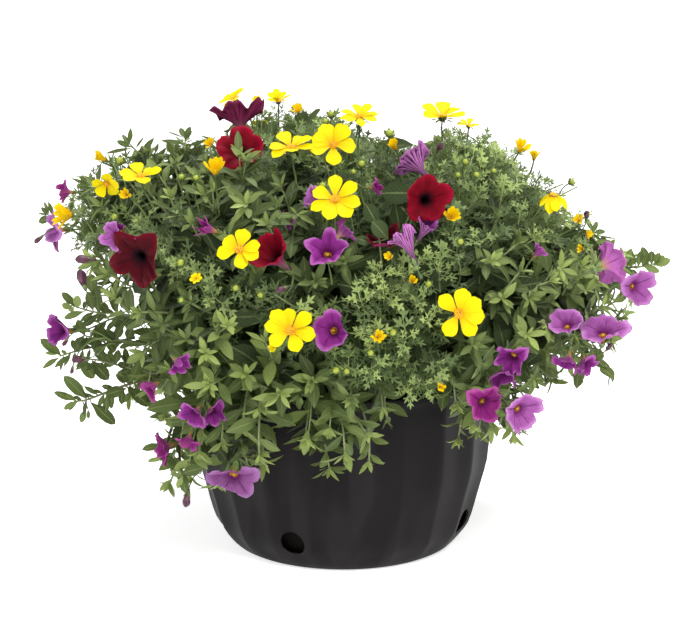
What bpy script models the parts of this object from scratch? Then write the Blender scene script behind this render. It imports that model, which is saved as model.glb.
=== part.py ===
"""Potted mixed annuals: a pleated nursery pot with bidens, calibrachoas and petunias.

Metres, +Z up. The origin is the centre of the pot's underside and the front faces -Y.
Bearings are degrees round the pot from the front, positive towards +X.
"""

import math

import bmesh
import bpy
from mathutils import Matrix, Vector, noise
from mathutils.bvhtree import BVHTree

NAME = "potted_mixed_annuals"
GAP = 0.0003  # clearance between pieces that touch

# Pot: a 12-inch class squat container with a thin fluted wall
POT_HEIGHT = 0.182
RIM_RADIUS = 0.1525
WALL = 0.0018
BASE_THICKNESS = 0.0022
FLUTES = 20
FLUTE_DEPTH = 0.0021
FLUTE_FADE = 0.016  # height at which the flutes reach their full depth
FIRST_RIDGE = math.radians(4.5)
SEGMENTS_PER_FLUTE = 4
POT_PROFILE = [  # height as a share of POT_HEIGHT, outer radius as a share of RIM_RADIUS
    (0.0, 0.690),
    (0.014, 0.726),
    (0.060, 0.780),
    (0.130, 0.838),
    (0.300, 0.898),
    (0.500, 0.962),
    (0.750, 0.984),
    (0.950, 0.990),
    (0.958, 1.0),
    (1.0, 1.0),
]
INNER_HEIGHTS = [0.060, 0.130, 0.300, 0.500, 0.750, 0.950, 1.0]  # shares of POT_HEIGHT
DRAIN_RADIUS = 0.0125
DRAIN_HEIGHT = 0.031
DRAIN_BEARINGS = [-22.5, 67.5, 157.5, 247.5]
DRAIN_SIDES = 20
DRAIN_CUT = 0.020

# Potting mix
MIX_TOP = 0.160
MIX_EDGE = 0.154
MIX_FLAT_RADIUS = 0.125
MIX_SEGMENTS = 40

# The mound of foliage: a squashed dome standing just above the rim
MOUND_FLOOR = 0.190
MOUND_CENTRE = Vector((0.0, 0.0, 0.272))
MOUND_AXES = Vector((0.262, 0.245, 0.148))
MOUND_POWER = 2.5
MOUND_DETAIL = 5
LUMP_HEIGHT = 0.016
LUMP_SIZE = 0.045
LOBES = [  # bearing, climb and half-width in degrees, height in mm
    (91, 0, 14, 30),
    (85, 48, 12, 12),
    (88, 27, 13, -24),
    (120, 68, 15, -14),
    (60, 64, 11, -10),
    (-60, 70, 18, 13),
    (-88, 20, 14, 30),
    (-86, -14, 18, -34),
    (178, 15, 24, 12),
    (140, 30, 18, 10),
    (-140, 25, 18, 8),
]

# Plants: name, bearing and distance from the pot's axis of the middle of the foliage
PLANTS = [
    ("petunia_red_front", -20, 0.062),
    ("petunia_veined", 100, 0.062),
    ("petunia_red_back", -140, 0.062),
    ("calibrachoa_front", -32, 0.160),
    ("bidens_front", 27, 0.160),
    ("calibrachoa_right", 88, 0.160),
    ("bidens_back", 148, 0.160),
    ("calibrachoa_back", -155, 0.160),
    ("bidens_left", -94, 0.160),
]
CROWN_REACH = 0.62  # a crown's distance from the axis as a share of its foliage's
CROWN_RADIUS = 0.0075
CROWN_HEIGHT = 0.008
CROWN_SIDES = 8
STEMS_PER_PLANT = 4
STEM_RADIUS = 0.0024
STEM_SPREAD = 0.017
STEM_END = 0.004
STEM_TAPER = 0.35  # share of its radius that a stem loses
STEM_BEVEL = 0  # gives stems four sides

# Clumps that hang outside the rim: bearing, distance, height, half-sizes round, out and up
CLUMPS = [
    ("front_left_drape", -37, 0.196, 0.150, 0.072, 0.034, 0.056),
    ("front_drape", -2, 0.190, 0.166, 0.048, 0.026, 0.044),
    ("right_drape", 48, 0.194, 0.168, 0.056, 0.030, 0.036),
    ("left_drape", -86, 0.196, 0.168, 0.060, 0.030, 0.032),
    ("back_right_drape", 132, 0.200, 0.160, 0.080, 0.036, 0.046),
    ("back_left_drape", -148, 0.198, 0.152, 0.095, 0.036, 0.050),
]
CLUMP_DETAIL = 3
CLUMP_CLEAR_RADIUS = RIM_RADIUS + 0.0008
CLUMP_LUMP = 0.35
CLUMP_LUMPS = 1.7

# Trailing shoots: name, then a middle point and the tip as (bearing, distance, height)
SHOOTS = [
    ("left_upper_shoot", [(-82, 0.262, 0.222), (-84, 0.290, 0.204)]),
    ("left_lower_shoot", [(-72, 0.258, 0.172), (-76, 0.276, 0.150)]),
    ("low_left_shoot", [(-50, 0.232, 0.126), (-49, 0.238, 0.104)]),
    ("front_left_shoot", [(-40, 0.238, 0.124), (-39, 0.242, 0.104)]),
    ("right_lower_shoot", [(70, 0.262, 0.196), (75, 0.280, 0.188)]),
    ("right_upper_shoot", [(89, 0.292, 0.288), (91, 0.316, 0.290)]),
]
SHOOT_RADIUS = 0.0016
SHOOT_LEAF = Vector((0.026, 0.011, 0.0016))  # length, width and thickness
SHOOT_STEP = 0.0075  # distance between leaves
SHOOT_LIFT = 0.012
SHOOT_BARE = 2  # steps of a shoot before its first leaf
LEAF_SINK = 0.0012
LEAF_DROOP = 0.18

# Flowers, as seen by an eye in front of the pot or behind it. For each: kind, side seen
# from, distance right of the middle and height in cm where the line of sight passes the
# pot's axis, then the way it faces: degrees turned to the right and degrees tilted up, and
# its width in mm.
EYE_DISTANCE = 3.0
EYE_PITCH = math.radians(14.2)
EYE_TARGET = Vector((0.0, 0.0, 0.234))
SIGHT_START = 2.5
SIGHT_STEP = 0.003
SIGHT_STEPS = 330
FLOWERS = [
    ("bidens", "front", -0.7, 34.6, -4, 22, 52),
    ("bidens", "front", -0.9, 40.0, 4, 36, 46),
    ("bidens", "front", -5.0, 39.8, -14, 58, 43),
    ("bidens", "front", -10.4, 29.8, -10, 26, 43),
    ("bidens", "front", 11.5, 23.0, 6, 14, 46),
    ("bidens", "front", -5.1, 21.3, -8, 28, 47),
    ("bidens", "front", 9.7, 42.8, 24, 74, 47),
    ("bidens", "front", 1.6, 42.8, 10, 72, 42),
    ("bidens", "front", -20.1, 37.0, -26, 56, 42),
    ("bidens", "front", -10.6, 44.6, -30, 78, 40),
    ("bidens", "front", 20.6, 35.0, 30, 10, 34),
    ("bidens", "back", 9.0, 36.0, 20, 40, 46),
    ("calibrachoa", "front", -1.4, 29.6, -12, 18, 38),
    ("calibrachoa", "front", -0.9, 21.3, 8, 12, 38),
    ("calibrachoa", "front", -22.6, 31.0, -34, 12, 34),
    ("calibrachoa", "front", -28.0, 21.4, -78, -4, 36),
    ("calibrachoa", "front", -13.7, 12.5, -18, 4, 40),
    ("calibrachoa", "front", -11.0, 5.8, -10, -12, 44),
    ("calibrachoa", "front", 16.7, 18.2, 22, 10, 38),
    ("calibrachoa", "front", 14.3, 13.6, 10, 0, 38),
    ("calibrachoa", "front", 17.8, 12.8, 24, -4, 38),
    ("calibrachoa", "front", 25.6, 27.6, 62, 14, 38),
    ("calibrachoa", "front", 29.0, 25.8, 48, 8, 38),
    ("calibrachoa", "back", -12.0, 22.0, -16, 8, 38),
    ("petunia_red", "front", -20.3, 28.5, -16, 14, 56),
    ("petunia_red", "front", 8.3, 34.6, 34, 30, 54),
    ("petunia_red", "front", -7.4, 29.0, 40, 24, 50),
    ("petunia_veined", "front", 6.4, 30.2, 46, 36, 50),
]
HEAD_PROFILES = {  # radius and height as shares of the flower's radius, from the top centre
    "bidens": [
        (0.0, 0.15),
        (0.17, 0.10),
        (0.20, 0.03),
        (1.0, 0.07),
        (1.0, 0.01),
        (0.15, -0.09),
        (0.09, -0.24),
    ],
    "calibrachoa": [
        (0.0, -0.34),
        (0.20, -0.20),
        (0.44, 0.0),
        (1.0, 0.04),
        (1.0, -0.02),
        (0.42, -0.10),
        (0.22, -0.40),
        (0.13, -0.85),
    ],
}
HEAD_PROFILES["petunia_red"] = HEAD_PROFILES["calibrachoa"]
HEAD_PROFILES["petunia_veined"] = HEAD_PROFILES["calibrachoa"]
LOBES_PER_FLOWER = 5
SEGMENTS_PER_LOBE = {"bidens": 3, "calibrachoa": 2, "petunia_red": 3, "petunia_veined": 3}
NOTCH = {"bidens": 0.34, "calibrachoa": 0.14, "petunia_red": 0.10, "petunia_veined": 0.10}
STAND_OFF = {"bidens": 0.6, "calibrachoa": 0.9, "petunia_red": 0.9, "petunia_veined": 0.9}
STALK_RADIUS = 0.0009
STALK_STEPS = 3
STALK_BOW = 0.35

# Colours
POT_COLOUR = (0.028, 0.028, 0.030)
MIX_COLOUR = (0.045, 0.030, 0.020)
STEM_COLOUR = (0.16, 0.24, 0.09)
LEAF_COLOUR = (0.10, 0.17, 0.06)
PETAL_COLOURS = {
    "bidens": (0.90, 0.68, 0.01),
    "calibrachoa": (0.38, 0.06, 0.42),
    "petunia_red": (0.20, 0.004, 0.02),
    "petunia_veined": (0.22, 0.04, 0.26),
}


def clear_scene():
    """Removes every object, so that the script always starts from nothing."""
    for thing in list(bpy.data.objects):
        bpy.data.objects.remove(thing, do_unlink=True)


def new_collection(name):
    """Makes a collection in the scene."""
    collection = bpy.data.collections.new(name)
    bpy.context.scene.collection.children.link(collection)
    return collection


def new_material(name, colour, roughness):
    """Makes a Principled material without metal."""
    material = bpy.data.materials.new(name)
    material.use_nodes = True
    shader = material.node_tree.nodes["Principled BSDF"]
    shader.inputs["Base Color"].default_value = (*colour, 1.0)
    shader.inputs["Roughness"].default_value = roughness
    shader.inputs["Metallic"].default_value = 0.0
    return material


def polar(bearing, distance, height):
    """Returns the point at a bearing in degrees, a distance from the axis and a height."""
    angle = math.radians(bearing)
    return Vector((distance * math.sin(angle), -distance * math.cos(angle), height))


def add_object(name, mesh, collection):
    """Puts a mesh or curve in the scene as an object."""
    thing = bpy.data.objects.new(name, mesh)
    collection.objects.link(thing)
    return thing


def mesh_from(bm, name):
    """Turns a bmesh into a smooth-shaded mesh with its faces outward."""
    bmesh.ops.recalc_face_normals(bm, faces=bm.faces[:])
    for face in bm.faces:
        face.smooth = True
    mesh = bpy.data.meshes.new(name)
    bm.to_mesh(mesh)
    bm.free()
    return mesh


def evaluated_mesh(thing):
    """Returns a new mesh as the object's modifiers or curve settings make it."""
    bpy.context.view_layer.update()
    return bpy.data.meshes.new_from_object(
        thing.evaluated_get(bpy.context.evaluated_depsgraph_get())
    )


def set_mesh(thing, mesh):
    """Gives an object its evaluated mesh in place of its modifiers."""
    thing.modifiers.clear()
    thing.data = mesh


def lathe(name, profile, segments, collection):
    """Turns a profile of (radius, height) points round Z and returns the mesh object."""
    line = bpy.data.meshes.new(name)
    points = [(radius, 0.0, height) for radius, height in profile]
    line.from_pydata(points, [(i, i + 1) for i in range(len(points) - 1)], [])
    thing = add_object(name, line, collection)
    turn = thing.modifiers.new("turn", "SCREW")
    turn.steps = segments
    turn.render_steps = segments
    turn.use_merge_vertices = True
    turn.merge_threshold = 0.00001
    turn.use_smooth_shade = True
    set_mesh(thing, evaluated_mesh(thing))
    return thing


def tube_mesh(name, points, radius, collection):
    """Returns a closed tube along points, tapering to a share of its radius at the end."""
    curve = bpy.data.curves.new(name, "CURVE")
    curve.dimensions = "3D"
    curve.bevel_depth = radius
    curve.bevel_resolution = STEM_BEVEL
    curve.use_fill_caps = True
    spline = curve.splines.new("POLY")
    spline.points.add(len(points) - 1)
    for at, (point, place) in enumerate(zip(spline.points, points)):
        point.co = (*place, 1.0)
        point.radius = 1.0 - STEM_TAPER * at / (len(points) - 1)
    thing = add_object(name, curve, collection)
    bm = bmesh.new()
    bm.from_mesh(evaluated_mesh(thing))
    bmesh.ops.remove_doubles(bm, verts=bm.verts[:], dist=0.00001)
    bpy.data.objects.remove(thing, do_unlink=True)
    return mesh_from(bm, name)


def boolean(thing, tool, operation):
    """Adds a Boolean modifier and hides its tool."""
    step = thing.modifiers.new(tool.name, "BOOLEAN")
    step.operation = operation
    step.solver = "EXACT"
    step.object = tool
    tool.hide_render = True
    tool.display_type = "WIRE"


def unite(thing, tools):
    """Joins solids to an object for good and removes them."""
    for tool in tools:
        boolean(thing, tool, "UNION")
    set_mesh(thing, evaluated_mesh(thing))
    for tool in tools:
        bpy.data.objects.remove(tool, do_unlink=True)


def bezier(points, share):
    """Returns a point on a Bezier curve of any number of control points."""
    while len(points) > 1:
        points = [a.lerp(b, share) for a, b in zip(points, points[1:])]
    return points[0]


# The pot and its mix


def pot_radius(height):
    """Returns the pot's outer radius at a height, without its flutes."""
    share = height / POT_HEIGHT
    for (low, inner), (high, outer) in zip(POT_PROFILE, POT_PROFILE[1:]):
        if share <= high:
            return RIM_RADIUS * (inner + (outer - inner) * (share - low) / (high - low))
    return RIM_RADIUS


def flute_offset(point):
    """Returns how far a point of the wall is drawn in by the flute it lies in."""
    start = FLUTE_FADE * 0.25
    share = min(max((point.z - start) / (FLUTE_FADE - start), 0.0), 1.0)
    bearing = math.atan2(point.x, -point.y)
    return FLUTE_DEPTH * share * abs(math.sin(FLUTES / 2 * (bearing - FIRST_RIDGE)))


def make_pot(collection, cutters):
    """Makes the thin fluted shell with its flat base, lip and four drain holes."""
    outer = [(RIM_RADIUS * wide, POT_HEIGHT * high) for high, wide in POT_PROFILE]
    heights = [POT_HEIGHT * high for high in INNER_HEIGHTS]
    inner = [(pot_radius(height) - WALL, height) for height in heights]
    floor = (pot_radius(BASE_THICKNESS) - 3 * WALL, BASE_THICKNESS)
    profile = [(0.0, BASE_THICKNESS), floor, *inner, *reversed(outer), (0.0, 0.0)]
    pot = lathe("pot", profile, FLUTES * SEGMENTS_PER_FLUTE, collection)
    for vertex in pot.data.vertices:
        distance = math.hypot(vertex.co.x, vertex.co.y)
        if distance > RIM_RADIUS / 2:
            vertex.co.xy *= 1.0 - flute_offset(vertex.co) / distance
    for bearing in DRAIN_BEARINGS:
        boolean(pot, drain_cutter(bearing, cutters), "DIFFERENCE")
    return pot


def drain_cutter(bearing, cutters):
    """Makes the cylinder that cuts one drain hole through the wall."""
    bm = bmesh.new()
    bmesh.ops.create_cone(
        bm,
        cap_ends=True,
        segments=DRAIN_SIDES,
        radius1=DRAIN_RADIUS,
        radius2=DRAIN_RADIUS,
        depth=DRAIN_CUT,
    )
    outward = polar(bearing, 1.0, 0.0)
    turned = Vector((0, 0, 1)).rotation_difference(outward).to_matrix().to_4x4()
    place = Matrix.Translation(polar(bearing, pot_radius(DRAIN_HEIGHT), DRAIN_HEIGHT))
    bmesh.ops.transform(bm, matrix=place @ turned, verts=bm.verts[:])
    return add_object("drain_cutter", mesh_from(bm, "drain_cutter"), cutters)


def make_mix(collection):
    """Makes the potting mix, which stands on the pot's floor clear of its wall."""
    drawn_in = WALL + FLUTE_DEPTH + GAP
    low = BASE_THICKNESS + GAP
    heights = [high * POT_HEIGHT for high in INNER_HEIGHTS[:-2]] + [MIX_EDGE]
    side = [(pot_radius(height) - drawn_in, height) for height in reversed(heights)]
    foot = (pot_radius(low) - 3 * drawn_in, low)
    profile = [(0.0, MIX_TOP), (MIX_FLAT_RADIUS, MIX_TOP), *side, foot, (0.0, low)]
    return lathe("potting_mix", profile, MIX_SEGMENTS, collection)


# The foliage


def direction_of(bearing, climb):
    """Returns the unit direction at a bearing and a climb above level, in degrees."""
    level = math.cos(math.radians(climb))
    return polar(bearing, level, math.sin(math.radians(climb)))


def mound_point(direction):
    """Returns the mound's surface point in a direction from its centre."""
    shares = [abs(part / size) for part, size in zip(direction, MOUND_AXES)]
    radius = sum(share**MOUND_POWER for share in shares) ** (-1.0 / MOUND_POWER)
    for bearing, climb, width, height in LOBES:
        away = math.degrees(direction.angle(direction_of(bearing, climb)))
        radius += height / 1000 * math.exp(-((away / width) ** 2))
    radius += LUMP_HEIGHT * noise.noise(direction * radius / LUMP_SIZE)
    return MOUND_CENTRE + direction * radius


def cut_by_plane(bm, point, normal):
    """Removes what lies on the normal's side of a plane and closes the cut."""
    bmesh.ops.bisect_plane(
        bm,
        geom=bm.verts[:] + bm.edges[:] + bm.faces[:],
        dist=0.00001,
        plane_co=point,
        plane_no=normal,
        clear_outer=True,
    )
    bmesh.ops.holes_fill(bm, edges=[e for e in bm.edges if e.is_boundary], sides=0)


def keep_own_share(bm, seed, others):
    """Cuts a solid back to the points nearer to its seed than to any other seed."""
    for other in others:
        apart = other - seed
        if apart.length > 0.0001:
            normal = apart.normalized()
            cut_by_plane(bm, (seed + other) / 2 - normal * GAP, normal)


def make_foliage(collection):
    """Makes each plant's share of the mound."""
    whole = bmesh.new()
    bmesh.ops.create_icosphere(whole, subdivisions=MOUND_DETAIL, radius=1.0)
    for vertex in whole.verts:
        vertex.co = mound_point(vertex.co.normalized())
    cut_by_plane(whole, Vector((0, 0, MOUND_FLOOR)), Vector((0, 0, -1)))
    seeds = [polar(bearing, distance, 0.0) for _, bearing, distance in PLANTS]
    made = []
    for (name, _, _), seed in zip(PLANTS, seeds):
        bm = whole.copy()
        keep_own_share(bm, seed, seeds)
        mesh = mesh_from(bm, name + "_foliage")
        made.append(add_object(mesh.name, mesh, collection))
    whole.free()
    return made


def make_clumps(collection):
    """Makes the clumps that hang over the rim, outside the pot."""
    seeds = [polar(bearing, distance, 0.0) for _, bearing, distance, *_ in CLUMPS]
    made = []
    for (name, bearing, distance, height, *sizes), seed in zip(CLUMPS, seeds):
        bm = bmesh.new()
        bmesh.ops.create_icosphere(bm, subdivisions=CLUMP_DETAIL, radius=1.0)
        middle = polar(bearing, distance, height)
        turn = Matrix.Rotation(math.radians(bearing), 3, "Z")
        for vertex in bm.verts:
            spot = vertex.co * CLUMP_LUMPS + middle / LUMP_SIZE
            lump = 1.0 + CLUMP_LUMP * noise.noise(spot)
            local = Vector(part * size * lump for part, size in zip(vertex.co, sizes))
            place = middle + turn @ local
            distance = math.hypot(place.x, place.y)
            place.xy *= max(CLUMP_CLEAR_RADIUS, distance) / distance
            place.z = min(place.z, MOUND_FLOOR - GAP)
            vertex.co = place
        keep_own_share(bm, seed, seeds)
        mesh = mesh_from(bm, name)
        made.append(add_object(name, mesh, collection))
    return made


def make_stems(collection):
    """Makes each plant's crown and main stems, from the mix to its foliage."""
    made = []
    for count, (name, bearing, distance) in enumerate(PLANTS):
        foot = polar(bearing, distance * CROWN_REACH, MIX_TOP + GAP)
        bm = bmesh.new()
        bmesh.ops.create_cone(
            bm,
            cap_ends=True,
            segments=CROWN_SIDES,
            radius1=CROWN_RADIUS,
            radius2=CROWN_RADIUS * 0.6,
            depth=CROWN_HEIGHT,
        )
        rise = Matrix.Translation(foot + Vector((0, 0, CROWN_HEIGHT / 2)))
        bmesh.ops.transform(bm, matrix=rise, verts=bm.verts[:])
        crown = add_object(name + "_stems", mesh_from(bm, name + "_stems"), collection)
        stems = []
        for turn in range(STEMS_PER_PLANT):
            spread = polar(bearing + 360 * (turn + 0.5) / STEMS_PER_PLANT, STEM_SPREAD, 0)
            top = Vector((foot.x, foot.y, MOUND_FLOOR - GAP)) + spread
            start = foot + Vector((0, 0, CROWN_HEIGHT * 0.5))
            below = top - Vector((0, 0, STEM_END))
            points = [start, start.lerp(below, 0.55), below, top]
            mesh = tube_mesh(f"stem_{count}_{turn}", points, STEM_RADIUS, collection)
            stems.append(add_object(mesh.name, mesh, collection))
        unite(crown, stems)
        made.append(crown)
    return made


def tree_of(things):
    """Returns one search tree over the faces of several objects."""
    places, faces = [], []
    for thing in things:
        start = len(places)
        places += [thing.matrix_world @ vertex.co for vertex in thing.data.vertices]
        for face in thing.data.polygons:
            faces.append([start + corner for corner in face.vertices])
    return BVHTree.FromPolygons(places, faces)


def leaf_mesh(base, along, up, sizes):
    """Returns one flat pointed leaf from its base along a direction."""
    bm = bmesh.new()
    bmesh.ops.create_icosphere(bm, subdivisions=1, radius=0.5)
    side = along.cross(up).normalized()
    face = side.cross(along).normalized()
    for vertex in bm.verts:
        share = vertex.co.z + 0.5
        width = vertex.co.x * sizes.y
        droop = -LEAF_DROOP * share * share * sizes.x
        place = base + along * share * sizes.x + side * width
        vertex.co = place + face * (vertex.co.y * sizes.z + droop)
    return mesh_from(bm, "leaf")


def make_shoots(collection, carriers):
    """Makes the trailing shoots, each a stem with leaves, from the foliage outward."""
    made = []
    for name, (near, far) in SHOOTS:
        tree = tree_of(carriers)
        middle, tip = polar(*near), polar(*far)
        seat, normal, _, _ = tree.find_nearest(middle)
        root = seat + normal * GAP
        controls = [root, root + normal * SHOOT_LIFT, middle, tip]
        length = sum((b - a).length for a, b in zip(controls, controls[1:]))
        steps = round(length / SHOOT_STEP)
        points = [bezier(controls, step / steps) for step in range(steps + 1)]
        mesh = tube_mesh(name, points, SHOOT_RADIUS, collection)
        shoot = add_object(name, mesh, collection)
        leaves = []
        for step in range(SHOOT_BARE, steps + 1):
            last = step == steps
            ahead = (points[step] - points[step - 1]).normalized()
            across = ahead.cross(Vector((0, 0, 1))).normalized()
            lean = across * (0.0 if last else 1.1 if step % 2 else -1.1)
            along = (ahead + lean + Vector((0, 0, 0.2))).normalized()
            base = points[step] - along * LEAF_SINK
            leaf = leaf_mesh(base, along, Vector((0, 0, 1)), SHOOT_LEAF)
            thing = add_object(f"{name}_leaf", leaf, collection)
            if tree.overlap(tree_of([thing])):
                bpy.data.objects.remove(thing, do_unlink=True)
            else:
                leaves.append(thing)
        unite(shoot, leaves)
        made.append(shoot)
        carriers = [*carriers, shoot]
    return made


# The flowers


def head_profile(kind, radius):
    """Returns a flower head's turned profile in metres, from its top centre down."""
    return [(across * radius, up * radius) for across, up in HEAD_PROFILES[kind]]


def flower_object(name, kind, radius, collection):
    """Makes a flower head with a straight stalk of unit length along -Z below it."""
    profile = head_profile(kind, radius)
    foot = profile[-1][1]
    stalk = [(STALK_RADIUS, foot - step / STALK_STEPS) for step in range(1, STALK_STEPS + 1)]
    end = (0.0, foot - 1.0)
    segments = LOBES_PER_FLOWER * SEGMENTS_PER_LOBE[kind]
    flower = lathe(name, [*profile, *stalk, end], segments, collection)
    notch = NOTCH[kind]
    for vertex in flower.data.vertices:
        distance = math.hypot(vertex.co.x, vertex.co.y)
        if distance > radius * 0.5:
            angle = math.atan2(vertex.co.y, vertex.co.x)
            vertex.co.xy *= 1.0 - notch * (1.0 + math.cos(LOBES_PER_FLOWER * angle)) / 2
    return flower, foot


def facing(side, turn, tilt):
    """Returns the direction a flower faces, from its turn and tilt seen from a side."""
    return direction_of(turn if side == "front" else 180.0 + turn, tilt)


def sight_line(side, right, height):
    """Returns a start point near the plant and the direction of a line of sight."""
    sign = 1.0 if side == "front" else -1.0
    level, rise = math.cos(EYE_PITCH), math.sin(EYE_PITCH)
    eye = EYE_TARGET + Vector((0, -sign * level, rise)) * EYE_DISTANCE
    ahead = (Vector((sign * right / 100, 0, height / 100)) - eye).normalized()
    return eye + ahead * SIGHT_START, ahead


def bend_flower(flower, foot, head, seat, normal):
    """Places the head and bends the stalk from it to its seat on the foliage."""
    place, axis = head
    turn = Vector((0, 0, 1)).rotation_difference(axis).to_matrix()
    start = place + axis * foot
    reach = (start - seat).length * STALK_BOW
    controls = [start, start - axis * reach, seat + normal * reach, seat]
    for vertex in flower.data.vertices:
        below = foot - vertex.co.z
        if below < 0.001:
            vertex.co = place + turn @ vertex.co
            continue
        share = min(below, 1.0)
        ahead = bezier(controls, min(share + 0.01, 1.0)) - bezier(controls, share - 0.01)
        if share > 0.99:
            ahead = -normal
        across = turn @ Vector((vertex.co.x, vertex.co.y, 0.0))
        swing = (-axis).rotation_difference(ahead)
        vertex.co = bezier(controls, share) + swing @ across


def make_flower(name, row, tree, collection):
    """Makes a flower as near to the foliage on its line of sight as it can stand clear."""
    kind, side, right, height, turn, tilt, width = row
    radius = width / 2000
    axis = facing(side, turn, tilt)
    start, ahead = sight_line(side, right, height)
    steps = [start + ahead * step * SIGHT_STEP for step in range(SIGHT_STEPS)]
    gaps = [tree.find_nearest(place)[3] for place in steps]
    wanted = radius * STAND_OFF[kind]
    first = next((at for at, gap in enumerate(gaps) if gap < wanted), None)
    if first is None:
        first = gaps.index(min(gaps))
    for at in range(first, -1, -1):
        flower, foot = flower_object(name, kind, radius, collection)
        place = steps[at]
        hit, normal, _, _ = tree.find_nearest(place + axis * foot)
        bend_flower(flower, foot, (place, axis), hit + normal * GAP, normal)
        if not tree.overlap(tree_of([flower])):
            return flower
        bpy.data.objects.remove(flower, do_unlink=True)
    raise RuntimeError(name + " finds no clear place")


def make_flowers(collection, carriers):
    """Makes every flower, numbered within its kind."""
    made, counts = [], {}
    for row in FLOWERS:
        kind = row[0]
        counts[kind] = counts.get(kind, 0) + 1
        name = f"{kind}_flower_{counts[kind]:02d}"
        made.append(make_flower(name, row, tree_of(carriers), collection))
        carriers = [*carriers, made[-1]]
    return made


def finish_with(things, label, colour, roughness):
    """Gives each object a material of its own."""
    for thing in things:
        thing.data.materials.clear()
        material = new_material(f"{thing.name}_{label}", colour, roughness)
        thing.data.materials.append(material)


def build():
    """Builds the whole potted plant."""
    clear_scene()
    collection = new_collection(NAME)
    cutters = new_collection("cutters")
    pot = make_pot(collection, cutters)
    mix = make_mix(collection)
    foliage = make_foliage(collection)
    clumps = make_clumps(collection)
    stems = make_stems(collection)
    shoots = make_shoots(collection, [*foliage, *clumps])
    flowers = make_flowers(collection, [*foliage, *clumps, *shoots])
    finish_with([pot], "plastic", POT_COLOUR, 0.45)
    finish_with([mix], "soil", MIX_COLOUR, 0.95)
    finish_with(stems, "stem", STEM_COLOUR, 0.7)
    finish_with([*foliage, *clumps, *shoots], "leaf", LEAF_COLOUR, 0.75)
    for flower in flowers:
        kind = flower.name.split("_flower_")[0]
        finish_with([flower], "petal", PETAL_COLOURS[kind], 0.6)


build()
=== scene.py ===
"""Potted mixed annuals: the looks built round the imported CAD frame.

Leaves, petals, buds and stems are all meshes. Leafy branches are grown from the plants'
crowns to the outer surface of the CAD foliage, flowers sit where their CAD heads are, and
the pot and its mix take their sizes from their CAD nodes. Metres, +Z up, front at -Y.
"""

import math
from collections import namedtuple

import bmesh
import bpy
import numpy as np
from mathutils import Matrix, Vector, kdtree, noise
from mathutils.bvhtree import BVHTree


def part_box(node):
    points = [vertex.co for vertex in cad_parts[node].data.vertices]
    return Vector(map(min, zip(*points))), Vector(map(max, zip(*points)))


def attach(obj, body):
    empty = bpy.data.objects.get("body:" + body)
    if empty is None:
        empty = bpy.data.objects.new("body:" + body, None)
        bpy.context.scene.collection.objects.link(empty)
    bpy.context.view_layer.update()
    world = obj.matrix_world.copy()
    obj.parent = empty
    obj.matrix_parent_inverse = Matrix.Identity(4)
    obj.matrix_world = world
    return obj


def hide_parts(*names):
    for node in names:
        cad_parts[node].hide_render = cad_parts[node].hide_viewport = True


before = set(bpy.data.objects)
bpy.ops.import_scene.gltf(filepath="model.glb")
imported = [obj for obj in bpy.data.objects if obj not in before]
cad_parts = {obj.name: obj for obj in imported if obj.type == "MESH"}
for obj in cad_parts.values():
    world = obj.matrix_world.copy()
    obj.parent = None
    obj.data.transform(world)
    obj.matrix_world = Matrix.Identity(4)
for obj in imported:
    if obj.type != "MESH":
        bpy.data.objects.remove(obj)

BODY = "root"
UP = np.array([0.0, 0.0, 1.0])
LEVEL = np.array([1.0, 1.0, 0.0])  # drops the height of a vector
FULL_TURN = 2 * math.pi
ANY_TURN = 6.28  # what random turns are drawn from, in radians
GOLDEN_ANGLE = math.radians(137.5)
SEEDS = dict(
    templates=23, foliage=11, grow=5, inside=17, middle=29, twigs=41, crumbs=3, flowers=100, buds=500
)

# The eye that the front view is built for
EYE_TARGET = np.array([0.0066, 0.0, 0.234])
EYE_DISTANCE = 3.0
EYE_PITCH = math.radians(14.2)
LENS_MM = 156.2
SENSOR_MM = 36.0
SIGHT_START, SIGHT_STEP, SIGHT_STEPS = 2.5, 0.003, 330  # how a line of sight is searched

PLANTS = {  # the kind of leaf of each plant
    "petunia_red_front": "broad",
    "petunia_veined": "broad",
    "petunia_red_back": "broad",
    "calibrachoa_front": "oblong",
    "bidens_front": "fern",
    "calibrachoa_right": "oblong",
    "bidens_back": "fern",
    "calibrachoa_back": "oblong",
    "bidens_left": "fern",
}
DRAPES = {  # hanging clumps and the plant that each belongs to
    "front_left_drape": "calibrachoa_front",
    "front_drape": "bidens_front",
    "right_drape": "calibrachoa_right",
    "left_drape": "calibrachoa_front",
    "back_right_drape": "bidens_back",
    "back_left_drape": "calibrachoa_back",
}
SPRAYS = [
    "left_upper_shoot",
    "left_lower_shoot",
    "low_left_shoot",
    "front_left_shoot",
    "right_lower_shoot",
    "right_upper_shoot",
]
# Leaf pieces: their slot, which is also the name of their material
LEAF_SLOTS = {"broad": "petunia_leaf", "oblong": "calibrachoa_leaf", "fern": "bidens_leaf"}

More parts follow.
